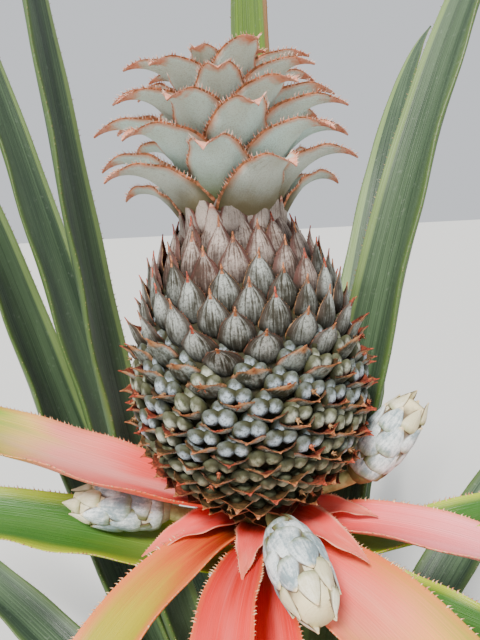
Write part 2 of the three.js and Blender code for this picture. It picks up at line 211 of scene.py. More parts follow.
def slab(columns: int, rows: int) -> Template:
    """Thin closed slab that blades are bent from: x across and z through from -1 to 1, y along from 0 to 1.

    Args:
        columns: Faces across.
        rows: Faces along.

    Returns:
        The template, with narrow columns at its margins.
    """
    start_shape(bpy.ops.mesh.primitive_grid_add, x_subdivisions=columns, y_subdivisions=rows, size=2)
    bpy.ops.mesh.extrude_region_move(TRANSFORM_OT_translate={"value": (0, 0, 2)})
    bpy.ops.mesh.select_all(action="SELECT")
    bpy.ops.mesh.normals_make_consistent(inside=False)
    shape = Template.from_active()
    corners = shape.corners
    corners[:, 0] = corners[:, 0] * (1.5 - 0.5 * corners[:, 0] ** 2)
    corners[:, 1] = corners[:, 1] / 2 + 0.5
    corners[:, 2] -= 1
    skin = np.column_stack([corners[:, 0] / 2 + 0.5, corners[:, 1]])
    return Template(corners, shape.faces, skin)


def thorn() -> Template:
    """Small hooked thorn that stands on the plane and points up, with its tip drawn along Y."""
    start_shape(bpy.ops.mesh.primitive_cone_add, 0.2, vertices=4, radius1=0.3, radius2=0.12, depth=0.6)
    bpy.ops.mesh.select_all(action="DESELECT")
    bpy.ops.object.mode_set(mode="OBJECT")
    for polygon in bpy.context.object.data.polygons:
        polygon.select = polygon.normal.z > 0.9
    bpy.ops.object.mode_set(mode="EDIT")
    bpy.ops.mesh.extrude_region_move(TRANSFORM_OT_translate={"value": (0, 0.35, 0.5)})
    bpy.ops.mesh.merge(type="CENTER")
    return Template.from_active()


def bead(segments: int, rings: int) -> Template:
    """Oval bead with a blunt nose along Z, the start of a sepal."""
    start_shape(bpy.ops.mesh.primitive_uv_sphere_add, segments=segments, ring_count=rings, radius=1)
    bpy.ops.transform.resize(value=(1.1, 0.72, 1.1))
    shape = Template.from_active((0, 2))
    corners = shape.corners
    drawn = np.clip(corners[:, 2], 0, None)
    corners[:, 0] *= 1 - 0.34 * drawn
    corners[:, 1] *= 1 - 0.28 * drawn
    corners[:, 1] *= np.where((np.abs(corners[:, 0]) < 0.05) & (corners[:, 1] > 0), 1.22, 1.0)
    return shape


def spindle(sides: int, rings: int) -> Template:
    """Round closed limb of radius 1 with flat ends at z 0 and 1, from a sphere's rings."""
    start_shape(bpy.ops.mesh.primitive_uv_sphere_add, segments=sides, ring_count=rings + 2, radius=1)
    shape = Template.from_active()
    corners = shape.corners
    ring = np.arccos(np.clip(-corners[:, 2], -1, 1)) / math.pi * (rings + 2)
    reach = np.hypot(corners[:, 0], corners[:, 1])
    flat = corners[:, :2] / np.where(reach < 1e-4, 1.0, reach)[:, None] * (reach > 1e-4)[:, None]
    share = np.clip((np.rint(ring) - 1) / rings, 0, 1)
    turn = np.arctan2(flat[:, 1], flat[:, 0]) / (2 * math.pi)
    return Template(np.column_stack([flat, share]), shape.faces, np.column_stack([turn, share]))


@dataclass
class Blade:
    """One leaf, bract or scale, by the growth rule, in millimetres and degrees."""

    azimuth: float
    seat: float
    length: float
    width: float
    leans: tuple[float, float, float]
    channel: tuple[float, float]
    radius: float = 0.0
    turn: float = 0.0
    roll: float = 0.0
    thickness: float = 2.0
    foot: float = 0.85
    growth: float = 0.3
    taper: float = 1.6
    tip: float = 0.8
    point: float = 1.0
    ripple: float = 0.0
    waves: float = 5.0
    phase: float = 0.0
    crease: float = 0.0

    def lean_at(self, share: np.ndarray) -> np.ndarray:
        """Lean from the vertical in radians, through its values at base, middle and tip."""
        base, middle, tip = self.leans
        rise = base * (1 - share) * (1 - 2 * share) + middle * 4 * share * (1 - share)
        return np.radians(rise + tip * share * (2 * share - 1))

    def path(self) -> tuple[np.ndarray, np.ndarray, np.ndarray]:
        """Frames along the blade.

        Returns:
            Points, sideways directions, and directions of the inner face.
        """
        share = np.linspace(0, 1, PATH_STEPS + 1)
        lean = self.lean_at(share)
        azimuth = np.radians(self.azimuth + self.turn * share)
        around = np.column_stack([np.cos(azimuth), np.sin(azimuth)])
        heading = np.column_stack([np.sin(lean)[:, None] * around, np.cos(lean)])
        steps = (heading[1:] + heading[:-1]) / 2 * self.length / PATH_STEPS
        start = np.array([self.radius * around[0, 0], self.radius * around[0, 1], self.seat])
        points = start + np.vstack([np.zeros(3), np.cumsum(steps, axis=0)])
        side = np.column_stack([-around[:, 1], around[:, 0], np.zeros(len(share))])
        face = np.cross(heading, side)
        twist = (math.radians(self.roll) * share)[:, None]
        turned_side = side * np.cos(twist) + face * np.sin(twist)
        turned_face = face * np.cos(twist) - side * np.sin(twist)
        return points, turned_side, turned_face

    def width_at(self, share: np.ndarray) -> np.ndarray:
        """Width of the blade measured over its skin: its outline, then the dry point beyond it."""
        grown = np.sin(np.minimum(share / self.growth, 1) * math.pi / 2)
        tapered = np.clip(1 - np.minimum(share / self.point, 1) ** self.taper, 0, None) ** 0.9
        beyond = np.clip((share - self.point) / max(1 - self.point, 0.01), 0, 1)
        return np.maximum(self.width * mix(self.foot, 1, grown) * tapered, self.tip * (1 - 0.75 * beyond))

    def thickness_at(self, share: np.ndarray) -> np.ndarray:
        """Thickness of the blade: less at its foot, most in its lower half, little at its tip."""
        grown = np.sin(np.minimum(share / 0.2, 1) * math.pi / 2)
        return self.thickness * mix(0.6, 1, grown) * (1 - 0.75 * share**2)

    def half_channel(self, share: np.ndarray) -> np.ndarray:
        """Half the angle of the channel that the blade is rolled to, in radians."""
        return np.radians(mix(self.channel[0], self.channel[1], share))

    def seat_on(self, carrier: Carrier) -> Blade:
        """Sets the radius at which the foot just clears its carrier, and returns the blade."""
        lean = math.radians(self.leans[0])
        half = float(self.thickness_at(np.array(0.0))) / 2
        sagitta = self.width * self.foot / 2 * 0.08
        self.radius = carrier(self.seat + half * math.sin(lean)) + GAP + half * math.cos(lean) + sagitta
        return self

    def spots(self, across: np.ndarray, along: np.ndarray, through: np.ndarray) -> np.ndarray:
        """Points of the blade's skin.

        Args:
            across: Places from -1 to 1 across the blade.
            along: Shares of its length.
            through: Sides, 1 for the outer and -1 for the inner skin.

        Returns:
            One point for each set of values.
        """
        points, side, face = self.path()
        step = np.rint(along * PATH_STEPS).astype(int)
        half = self.half_channel(along)
        bend = self.width_at(along) / (2 * half)
        lens = np.sqrt(np.clip(1 - across**2, 0, None)) * 0.9 + 0.1
        fold = self.crease * np.exp(-((across / 0.12) ** 2))
        swing = np.sin(2 * math.pi * self.waves * along + self.phase + 1.9 * (across > 0))
        wave = self.ripple * np.abs(across) ** 3 * swing * np.sin(np.clip(along, 0, 1) * math.pi)
        reach = bend + self.thickness_at(along) / 2 * through * lens + wave + fold
        angle = half * across
        offset = side[step] * (reach * np.sin(angle))[:, None]
        return points[step] + offset + face[step] * (bend - reach * np.cos(angle))[:, None]

    def margin(self, thorns: Thorns, sign: float, rng: np.random.Generator) -> np.ndarray:
        """Places for thorns along one margin, evenly spaced along its edge.

        Args:
            thorns: The row of thorns.
            sign: Which margin, -1 or 1.
            rng: Source of small differences.

        Returns:
            Matrices whose Z points out of the margin and whose Y points along it, with the thorns' sizes.
        """
        grid = np.arange(PATH_STEPS + 1) / PATH_STEPS
        edge = self.spots(np.full(len(grid), sign * 0.99), grid, np.zeros(len(grid)))
        ahead = np.gradient(edge, axis=0)
        ahead /= np.linalg.norm(ahead, axis=1)[:, None]
        _, side, face = self.path()
        half = self.half_channel(grid)[:, None]
        out = sign * side * np.cos(half) + face * np.sin(half)
        out -= np.sum(out * ahead, axis=1)[:, None] * ahead
        out /= np.linalg.norm(out, axis=1)[:, None] + 1e-9
        reach = np.concatenate([[0], np.cumsum(np.linalg.norm(np.diff(edge, axis=0), axis=1))])
        first, last = np.interp([thorns.start, thorns.end], grid, reach)
        spots = np.arange(first, last, thorns.spacing)
        spots = spots + rng.uniform(-0.3, 0.3, len(spots)) * thorns.spacing
        step = np.clip(np.searchsorted(reach, spots), 1, PATH_STEPS - 1)
        size = thorns.height * rng.uniform(0.65, 1.2, len(step)) * (1 - thorns.fade * grid[step])
        places = np.zeros((len(step), 4, 4))
        places[:, :3, 0] = np.cross(ahead[step], out[step]) * (size * thorns.width * 0.6)[:, None]
        places[:, :3, 1] = ahead[step] * (size * thorns.width)[:, None]
        places[:, :3, 2] = out[step] * size[:, None]
        places[:, :3, 3] = edge[step]
        places[:, 3, 3] = 1
        return places


class Zone(IntEnum):
    """Zones of a blade that carry their own finish."""

    FACE, MARGIN, TIP, THORN, INNER = range(5)


@dataclass(frozen=True)
class Thorns:
    """Row of thorns along both margins of a blade, from one share of its length to another."""

    height: float
    spacing: float
    start: float
    end: float
    width: float
    fade: float


class Sheaf:
    """Gathers copies of templates and blades, and writes them as one mesh."""

    def __init__(self, place: np.ndarray) -> None:
        """Starts with nothing gathered, and keeps the matrix from its own millimetres to the plant's."""
        self.place = place
        self.corners: list[np.ndarray] = []
        self.faces: list[np.ndarray] = []
        self.skins: list[np.ndarray] = []
        self.finishes: list[np.ndarray] = []
        self.count = 0

    def add(
        self, corners: np.ndarray, faces: Sequence[np.ndarray], skin: np.ndarray, finish: Sequence
    ) -> None:
        """Adds one shape.

        Args:
            corners: Its corners in the plant's millimetres.
            faces: Arrays of corner numbers, one array for each number of corners.
            skin: Skin coordinates of its corners.
            finish: For each array of faces, a finish number or one for each face.
        """
        self.corners.append(corners)
        self.skins.append(skin)
        for rows, number in zip(faces, finish):
            self.faces.append(rows + self.count)
            self.finishes.append(np.broadcast_to(number, (len(rows),)))
        self.count += len(corners)

    def add_limb(
        self,
        shape: Template,
        radius: Carrier,
        bounds: tuple[float, float],
        inset: np.ndarray | float = 0.0,
        finish: int = 0,
    ) -> None:
        """Adds a spindle drawn out to a limb.

        Args:
            shape: The spindle.
            radius: The limb's radius by its height.
            bounds: Heights of its foot and top.
            inset: Depth below that radius, for all of it or at each corner.
            finish: Its finish number.
        """
        height = mix(*bounds, shape.corners[:, 2])
        reach = np.array([radius(float(value)) for value in height]) - inset
        corners = moved(np.column_stack([shape.corners[:, :2] * reach[:, None], height]), self.place)
        self.add(corners, shape.faces, shape.skin, [finish] * len(shape.faces))

    def stamp(self, shape: Template, places: np.ndarray, finish: int) -> None:
        """Adds a copy of a template at each place.

        Args:
            shape: The template.
            places: Matrices in the sheaf's own millimetres, with the copies' sizes in them.
            finish: Finish number of all the copies.
        """
        places = self.place @ places
        whole = np.column_stack([shape.corners, np.ones(len(shape.corners))])
        corners = np.einsum("nij,kj->nki", places, whole)[:, :, :3].reshape(-1, 3)
        offsets = np.arange(len(places))[:, None, None] * len(shape.corners)
        faces = [(rows[None] + offsets).reshape(-1, rows.shape[1]) for rows in shape.faces]
        self.add(corners, faces, np.tile(shape.skin, (len(places), 1)), [finish] * len(faces))

    def bend(
        self, shape: Template, blade: Blade, zones: Sequence[int], tip_from: float, tip_half: float
    ) -> None:
        """Bends a slab to a blade and deals out its finishes.

        Args:
            shape: The slab.
            blade: The blade's rule.
            zones: Finish numbers by zone.
            tip_from: Share of the length where the tip's finish starts.
            tip_half: Half of the width that it covers there, from 0 to 1.
        """
        across, along, through = shape.corners.T
        numbers = []
        for rows in shape.faces:
            side, run, depth = shape.corners[rows].mean(axis=1).T
            zone = np.where(depth > -0.5, zones[Zone.FACE], zones[Zone.INNER])
            zone = np.where(np.abs(side) > MARGIN_FROM, zones[Zone.MARGIN], zone)
            in_tip = ((run > tip_from) & (np.abs(side) < tip_half)) | (run > blade.point)
            numbers.append(np.where(in_tip, zones[Zone.TIP], zone))
        self.add(moved(blade.spots(across, along, through), self.place), shape.faces, shape.skin, numbers)

    def write(self, name: str, materials: Sequence[bpy.types.Material]) -> bpy.types.Object:
        """Writes all that was gathered as one piece in metres.

        Args:
            name: The piece's name.
            materials: Its materials, in the order of the finish numbers.

        Returns:
            The new object, at the origin.
        """
        mesh = bpy.data.meshes.new(name)
        corners = np.concatenate(self.corners) * MM
        loops = np.concatenate([rows.ravel() for rows in self.faces])
        sizes = np.concatenate([np.full(len(rows), rows.shape[1]) for rows in self.faces])
        starts = np.concatenate([[0], np.cumsum(sizes)[:-1]])
        mesh.vertices.add(len(corners))
        mesh.vertices.foreach_set("co", corners.ravel())
        mesh.loops.add(len(loops))
        mesh.loops.foreach_set("vertex_index", loops.astype(np.int32))
        mesh.polygons.add(len(sizes))
        mesh.polygons.foreach_set("loop_start", starts.astype(np.int32))
        mesh.polygons.foreach_set("material_index", np.concatenate(self.finishes).astype(np.int32))
        mesh.polygons.foreach_set("use_smooth", np.ones(len(sizes), bool))
        skin = mesh.uv_layers.new(name="Skin")
        skin.data.foreach_set("uv", np.concatenate(self.skins)[loops].ravel())
        mesh.update(calc_edges=True)
        mesh.validate()
        piece = bpy.data.objects.new(name, mesh)
        bpy.context.scene.collection.objects.link(piece)
        for material in materials:
            mesh.materials.append(material)
        return piece


def attach(piece: bpy.types.Object, slot: str, *nodes: str) -> None:
    """Fixes a piece to the plant's body and hides the solids that it stands for.

    Args:
        piece: The finished piece.
        slot: Not used.
        nodes: The solids that it replaces.
    """
    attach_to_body(piece, "root")
    if nodes:
        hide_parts(*nodes)
    LOG.info("%s: %d faces", piece.name, len(piece.data.polygons))


@dataclass(frozen=True)
class Series:
    """What the single blades of one kind share: names of piece and solid, slot, slab, thorns and place."""

    piece: str
    node: str
    slot: str
    shape: Template
    thorns: Thorns
    place: np.ndarray


@dataclass
class Spiny:
    """A part with thorny blades: it has the thorn's template and the source of small differences."""

    prickle: Template
    rng: np.random.Generator

    def lay(
        self,
        sheaf: Sheaf,
        blade: Blade,
        shape: Template,
        zones: Sequence[int],
        thorns: Thorns,
        tip_from: float = NO_TIP,
        tip_half: float = 1.0,
    ) -> None:
        """Lays a blade in a sheaf and sets thorns along its margins.

        Args:
            sheaf: The sheaf that gathers it.
            blade: The blade's rule.
            shape: The slab that it is bent from.
            zones: Finish numbers by zone.
            thorns: Its rows of thorns.
            tip_from: Share of the length where the tip's finish starts.
            tip_half: Half of the width that it covers there, from 0 to 1.
        """
        sheaf.bend(shape, blade, zones, tip_from, tip_half)
        for sign in (-1.0, 1.0):
            sheaf.stamp(self.prickle, blade.margin(thorns, sign, self.rng), zones[Zone.THORN])

    def single(
        self, series: Series, index: int, blade: Blade, skin: bpy.types.Material, horn: bpy.types.Material
    ) -> None:
        """Makes one blade of a series, a piece of its own.

        Args:
            series: What it shares with the others.
            index: Its number in the series, from 0.
            blade: Its rule.
            skin: Material of the blade.
            horn: Material of its thorns.
        """
        sheaf = Sheaf(series.place)
        self.lay(sheaf, blade, series.shape, (0, 0, 0, 1, 0), series.thorns)
        piece = sheaf.write(f"{series.piece}_{index + 1:02d}", [skin, horn])
        attach(piece, series.slot, f"{series.node}_{index + 1:02d}")


class Wire:
    """A shader socket that takes part in Python sums."""

    def __init__(self, board: Board, socket: bpy.types.NodeSocket) -> None:
        """Keeps the board and the socket."""
        self.board = board
        self.socket = socket

    def _sum(self, operation: str, *values: Wire | float) -> Wire:
        """Adds a Math node."""
        return self.board.node("ShaderNodeMath", {"operation": operation}, list(values))

    @staticmethod
    def _sign(operation: str, turned: bool = False) -> Callable[[Wire, Wire | float], Wire]:
        """Method of an operator's sign, with its two sides turned round or not."""
        if turned:
            return lambda self, other: self._sum(operation, other, self)
        return lambda self, other: self._sum(operation, self, other)

    __add__ = __radd__ = _sign("ADD")
    __mul__ = __rmul__ = _sign("MULTIPLY")
    __sub__, __rsub__ = _sign("SUBTRACT"), _sign("SUBTRACT", True)

    def __abs__(self) -> Wire:
        """This value without its sign."""
        return self._sum("ABSOLUTE", self)

    def to_range(self, low: float, high: float, new_low: float = 0.0, new_high: float = 1.0) -> Wire:
        """Smooth step of this value from one range to another."""
        return self.board.node(
            "ShaderNodeMapRange",
            {"interpolation_type": "SMOOTHSTEP"},
            {"Value": self, "From Min": low, "From Max": high, "To Min": new_low, "To Max": new_high},
        )


class Board:
    """Node tree of one material."""

    def __init__(self, name: str) -> None:
        """Makes the material, with its shader and output."""
        self.material = bpy.data.materials.new(name)
        self.material.use_nodes = True
        self.tree = self.material.node_tree
        self.shader = self.tree.nodes["Principled BSDF"]
        self.color: Wire | Color = (0, 0, 0)

    def node(self, kind: str, settings: dict, values: dict | list, output: int | str = 0) -> Wire:
        """Adds any node.

        Args:
            kind: The node's type.
            settings: Its settings, with a ramp's stops under "stops".
            values: Values or wires for its sockets, by name or in order.
            output: Which output to return.

        Returns:
            The chosen output.
        """
        made = self.tree.nodes.new(kind)
        for key, value in settings.items():
            if key == "stops":
                self._set_stops(made.color_ramp, value)
            else:
                setattr(made, key, value)
        pairs = enumerate(values) if isinstance(values, list) else values.items()
        for key, value in pairs:
            if isinstance(value, Wire):
                self.tree.links.new(value.socket, made.inputs[key])
            else:
                made.inputs[key].default_value = value
        return Wire(self, made.outputs[output])

    @staticmethod
    def _set_stops(ramp: bpy.types.ColorRamp, stops: Stops) -> None:
        """Sets a ramp's stops, which start with the two that it has."""
        while len(ramp.elements) < len(stops):
            ramp.elements.new(0.5)
        for element, (place, color) in zip(ramp.elements, stops):
            element.position = place
            element.color = linear(color)

    def skin(self) -> tuple[Wire, Wire]:
        """Skin coordinates, across and along."""
        spot = self.node("ShaderNodeUVMap", {"uv_map": "Skin"}, {})
        across = self.node("ShaderNodeSeparateXYZ", {}, {"Vector": spot}, "X")
        along = self.node("ShaderNodeSeparateXYZ", {}, {"Vector": spot}, "Y")
        return across, along

    def place(self) -> Wire:
        """Object coordinates."""
        return self.node("ShaderNodeTexCoord", {}, {}, "Object")

    def noise(self, vector: Wire, scale: float, detail: float = 2.0, roughness: float = 0.5) -> Wire:
        """Noise value at a vector."""
        values = {"Vector": vector, "Scale": scale, "Detail": detail, "Roughness": roughness}
        return self.node("ShaderNodeTexNoise", {}, values)

    def stretched(self, across: float, along: float, shift: float = 0.0) -> Wire:
        """Skin coordinates stretched for lengthwise fibres, shifted so that copies differ."""
        spot = self.node("ShaderNodeUVMap", {"uv_map": "Skin"}, {})
        values = {"Vector": spot, "Scale": (across, along, 1), "Location": (shift, shift * 0.7, shift)}
        return self.node("ShaderNodeMapping", {}, values)

    def blend(self, mask: Wire, low: Wire | Color, high: Wire | Color) -> Wire:
        """Mix of two colours by a mask."""
        first, second = (end if isinstance(end, Wire) else linear(end) for end in (low, high))
        return self.node("ShaderNodeMix", {"data_type": "RGBA"}, {0: mask, 6: first, 7: second}, 2)

    def coat(self, mask: Wire, color: Wire | Color) -> None:
        """Lays a colour over what is painted so far, by a mask."""
        self.color = self.blend(mask, self.color, color)

    def ramp(self, value: Wire, stops: Stops) -> Wire:
        """Colour ramp."""
        return self.node("ShaderNodeValToRGB", {"stops": stops}, {"Fac": value})

    def finish(self, roughness: Wire | float, relief: Wire, depth: float) -> None:
        """Feeds the shader with the colour painted so far.

        Args:
            roughness: Roughness.
            relief: Height of the bump.
            depth: Depth of the bump in metres.
        """
        self.tree.links.new(self.color.socket, self.shader.inputs["Base Color"])
        if isinstance(roughness, Wire):
            self.tree.links.new(roughness.socket, self.shader.inputs["Roughness"])
        else:
            self.shader.inputs["Roughness"].default_value = roughness
        bump = self.node("ShaderNodeBump", {}, {"Height": relief, "Distance": depth, "Strength": 1.0})
        self.tree.links.new(bump.socket, self.shader.inputs["Normal"])


class Finish:
    """A finish that paints a material."""

    def paint(self, board: Board) -> None:
        """Paints a board, as each finish does in its own way."""
        raise NotImplementedError

    def material(self, name: str) -> bpy.types.Material:
        """Builds the material under a name."""
        board = Board(name)
        self.paint(board)
        return board.material


@dataclass(frozen=True)
class LeafFinish(Finish):
    """Blue-green leaf with fine lengthwise lines, green margins and, on some, one pale band."""

    dark: Color = (28, 50, 30)
    light: Color = (82, 106, 74)
    edge: Color = (74, 98, 38)
    foot: Color = (134, 140, 80)
    band: Color = (118, 142, 82)
    dust: Color = (150, 162, 144)
    band_at: float = -1.0
    band_width: float = 0.1
    shift: float = 0.0

    def paint(self, board: Board) -> None:
        """Paints lines, margin, foot and band."""
        across, along = board.skin()
        lines = board.noise(board.stretched(46, 1.4, self.shift), 1.0, 3.0, 0.6)
        clouds = board.noise(board.stretched(3.0, 5.0, self.shift + 2), 1.0, 2.0)
        tone = lines * 0.62 + clouds * 0.5
        board.color = board.blend(tone.to_range(0.36, 0.74), self.dark, self.light)
        board.coat(abs(across - 0.5).to_range(0.36, 0.5, 0.0, 0.8), self.edge)
        board.coat(along.to_range(0.22, 0.0, 0.0, 0.7), self.foot)
        if self.band_at >= 0:
            near = abs(across - self.band_at).to_range(self.band_width, self.band_width * 0.55)
            board.coat(near * 0.9, self.band)
        dust = board.noise(board.place(), 260.0, 4.0, 0.65)
        board.coat(dust.to_range(0.58, 0.72, 0.0, 0.2), self.dust)
        board.finish(clouds.to_range(0.3, 0.7, 0.42, 0.6), lines, 0.0006)


# Orange to green along the sunny margin of some bracts
GREENING = (
    (0.0, (210, 60, 40)), (0.14, (228, 100, 54)), (0.24, (206, 150, 50)), (0.33, (126, 160, 34)),
    (1.0, (80, 132, 24)),
)


@dataclass(frozen=True)
class BractFinish(Finish):
    """Bract whose colour runs along it, with fibres, a coloured margin and a waxy pale middle, raised as
    painted light on some.
    """

    stops: Stops
    edge: Color
    edge_share: float
    edge_from: float = 0.4
    pale: Color = (248, 170, 160)
    pale_share: float = 0.2
    band_side: float = 0.5
    shift: float = 0.0

    def paint(self, board: Board) -> None:
        """Paints the run of colours, the pale middle of wax and painted light, fibres, band and margin."""
        across, along = board.skin()
        fibres = board.noise(board.stretched(60, 2.0, self.shift), 1.0, 3.0, 0.6)
        clouds = board.noise(board.stretched(3.5, 4.0, self.shift + 3), 1.0, 2.0)
        reach = along + (clouds - 0.5) * 0.16 + (fibres - 0.5) * 0.05
        board.color = board.ramp(reach, self.stops)
        from_middle = abs(across - 0.5)
        # Pale middle: the bract's waxy coat, raised on some bracts as painted light
        bloom_and_painted_light = from_middle.to_range(0.34, 0.0) * clouds.to_range(0.35, 0.65) * self.pale_share
        board.coat(bloom_and_painted_light, self.pale)
        board.coat(fibres.to_range(0.45, 0.75, 0.0, 0.15), self.pale)
        if self.band_side != 0.5:
            near = (across + (fibres - 0.5) * 0.2).to_range(mix(0.5, self.band_side, 0.35), self.band_side)
            board.coat(near * 0.85, board.ramp(reach, GREENING))
        board.coat(from_middle.to_range(self.edge_from, 0.5, 0.0, self.edge_share), self.edge)
        board.finish(clouds.to_range(0.3, 0.7, 0.34, 0.5), fibres, 0.0005)


@dataclass(frozen=True)
class ScurfFinish(Finish):
    """Pale scurf over a darker skin, in fine fibres, with specks and a coloured rim, foot and tip; dark rims
    and feet on the fruit are painted shade.
    """

    scurf: Color
    skin: Color
    fleck: Color = (96, 96, 84)
    rim: Color = (120, 90, 60)
    low_rim: Color = (110, 92, 56)
    foot: Color = (96, 92, 50)
    end: Color = (222, 140, 104)
    cover: float = 0.72
    flecks: float = 0.4
    fibre: float = 20.0
    grain: float = 900.0
    rim_from: float = 0.36
    rim_to: float = 0.5
    rim_share: float = 0.9
    foot_share: float = 0.8
    foot_height: float = 0.3
    end_from: float = 1.0
    end_reach: float = 0.15
    end_share: float = 1.0
    specks: float = 1500.0
    streaks: float = 0.4
    roughness: float = 0.72

    def paint(self, board: Board) -> None:
        """Paints scurf, specks, foot, rim and tip."""
        across, along = board.skin()
        fibres = board.noise(board.stretched(self.fibre, 2.2), 1.0, 3.0, 0.6)
        place = board.place()
        patches = board.noise(place, self.grain * 0.16, 3.0, 0.6)
        specks = board.noise(place, self.specks, 3.0, 0.7)
        blotches = board.noise(place, self.grain * 0.5, 3.0, 0.65)
        mood = board.noise(place, 48.0, 1.0)
        thick = fibres * self.streaks + patches * 0.3 + blotches * (0.75 - self.streaks) + (mood - 0.5) * 0.5
        bare = self.cover / 2
        board.color = board.blend(thick.to_range(0.66 - bare, 0.9 - bare), self.skin, self.scurf)
        board.coat(specks.to_range(0.5, 0.62, 0.0, self.flecks), self.fleck)
        ragged = (patches - 0.5) * 0.12
        # Foot: its own colour on the crown and slips, painted shade on the fruit's bracts and sepals
        low = (along + ragged).to_range(self.foot_height, self.foot_height * 0.2, 0.0, self.foot_share)
        board.coat(low, self.foot)
        # Rim: its own colour on the crown, slips and lower fruit bracts, painted shade on the high and neck
        # bracts and sepals
        from_middle = abs(across - 0.5) + ragged
        rim = board.blend(along.to_range(0.2, 0.5), self.low_rim, self.rim)
        board.coat(from_middle.to_range(self.rim_from, self.rim_to, 0.0, self.rim_share), rim)
        if self.end_from < 1:
            end_to = self.end_from + self.end_reach
            last = (along + ragged * 2).to_range(self.end_from, end_to, 0.0, self.end_share)
            board.coat(last, self.end)
        board.finish(self.roughness, specks * 0.5 + fibres, 0.0004)


@dataclass(frozen=True)
class DryFinish(Finish):
    """Dry papery or horny tissue, mottled between two colours."""

    light: Color
    dark: Color
    grain: float = 420.0
    roughness: float = 0.62

    def paint(self, board: Board) -> None:
        """Paints the mottle."""
        mottle = board.noise(board.place(), self.grain, 3.0, 0.6)
        board.color = board.blend(mottle.to_range(0.36, 0.64), self.dark, self.light)
        board.finish(self.roughness, mottle, 0.0003)


def dressed(finishes: dict[str, Finish]) -> list[bpy.types.Material]:
    """Materials of named finishes, in the order of their finish numbers."""
    return [finish.material(name) for name, finish in finishes.items()]


@dataclass
class Stem:
    """Short stem with rings of old leaf scars, and the ribbed flower stalk above it."""

    sides: int = 48
    rings: int = 96
    scar_spacing: float = 6.2
    scar_depth: float = 1.2
    rib_count: int = 9
    rib_depth: float = 0.5
    stalk_gap: float = 1.0

    def limb(
        self, bounds: tuple[float, float], radius: Carrier, relief: Callable, place: np.ndarray
    ) -> Sheaf:
        """Makes a closed limb with relief.

        Args:
            bounds: Heights of its foot and top.
            radius: Its radius by height.
            relief: Depth below that radius, from arrays of heights and bearings.
            place: Matrix from the limb's millimetres to the plant's.

        Returns:
            The limb in a sheaf.
        """
        shape = spindle(self.sides, self.rings)
        across, along, share = shape.corners.T
        depth = relief(mix(*bounds, share), np.arctan2(along, across)) * np.sin(math.pi * share) ** 0.25
        sheaf = Sheaf(place)
        sheaf.add_limb(shape, radius, bounds, depth)
        return sheaf

    def scars(self, height: np.ndarray, turn: np.ndarray) -> np.ndarray:
        """Depth of the leaf scars at heights and bearings."""
        ring = (height / self.scar_spacing + turn / (2 * math.pi)) % 1.0
        return self.scar_depth * (1 - ring) ** 2 * (0.8 + 0.2 * np.sin(5 * turn))

    def ribs(self, height: np.ndarray, turn: np.ndarray) -> np.ndarray:
        """Depth of the stalk's ribs at heights and bearings."""
        wander = 0.2 * np.sin(height / 17)
        return self.rib_depth * (0.5 + 0.5 * np.sin(self.rib_count * turn + wander))

    def build(self) -> None:
        """Makes the stem and the stalk."""
        bark = DryFinish((146, 132, 92), (86, 84, 50), 90.0, 0.8).material("Stem bark")
        green = DryFinish((150, 140, 78), (104, 88, 48), 120.0, 0.6).material("Stalk skin")
        stem = self.limb((0.0, STEM_HEIGHT), stem_radius, self.scars, np.eye(4))
        attach(stem.write("stem_scarred", [bark]), "stem_green", "stem")
        bounds = (STEM_HEIGHT + self.stalk_gap, FRUIT_BASE - GAP)
        stalk = self.limb(bounds, stalk_radius, self.ribs, head_place())
        attach(stalk.write("flower_stalk_ribbed", [green]), "stem_green", "flower_stalk")


# Leaves that stand in plain view and have a bearing of their own, as in the solids
SEEN_LEAVES: dict[int, dict] = {
    0: dict(azimuth=32, length=900, width=56, foot=0.6, leans=(8, 21, 54), turn=-3),
    2: dict(azimuth=90, length=800, width=49, foot=0.65, leans=(20, 2, 10)),
    4: dict(azimuth=158, length=860, width=51, leans=(28, 6, 17), roll=12),
    5: dict(azimuth=59, length=800, leans=(26, 26, 61), turn=-3),
    7: dict(azimuth=150, length=880, width=57, leans=(30, 16, 31), roll=13),
    12: dict(azimuth=157, length=860, width=62, leans=(36, 17, 45), roll=11),
}

# Leaves with one pale band: its place across and its width
BANDED_LEAVES: dict[int, tuple[float, float]] = {
    0: (0.96, 0.1), 4: (0.05, 0.08), 5: (0.9, 0.1), 7: (0.03, 0.1), 12: (0.06, 0.09)
}


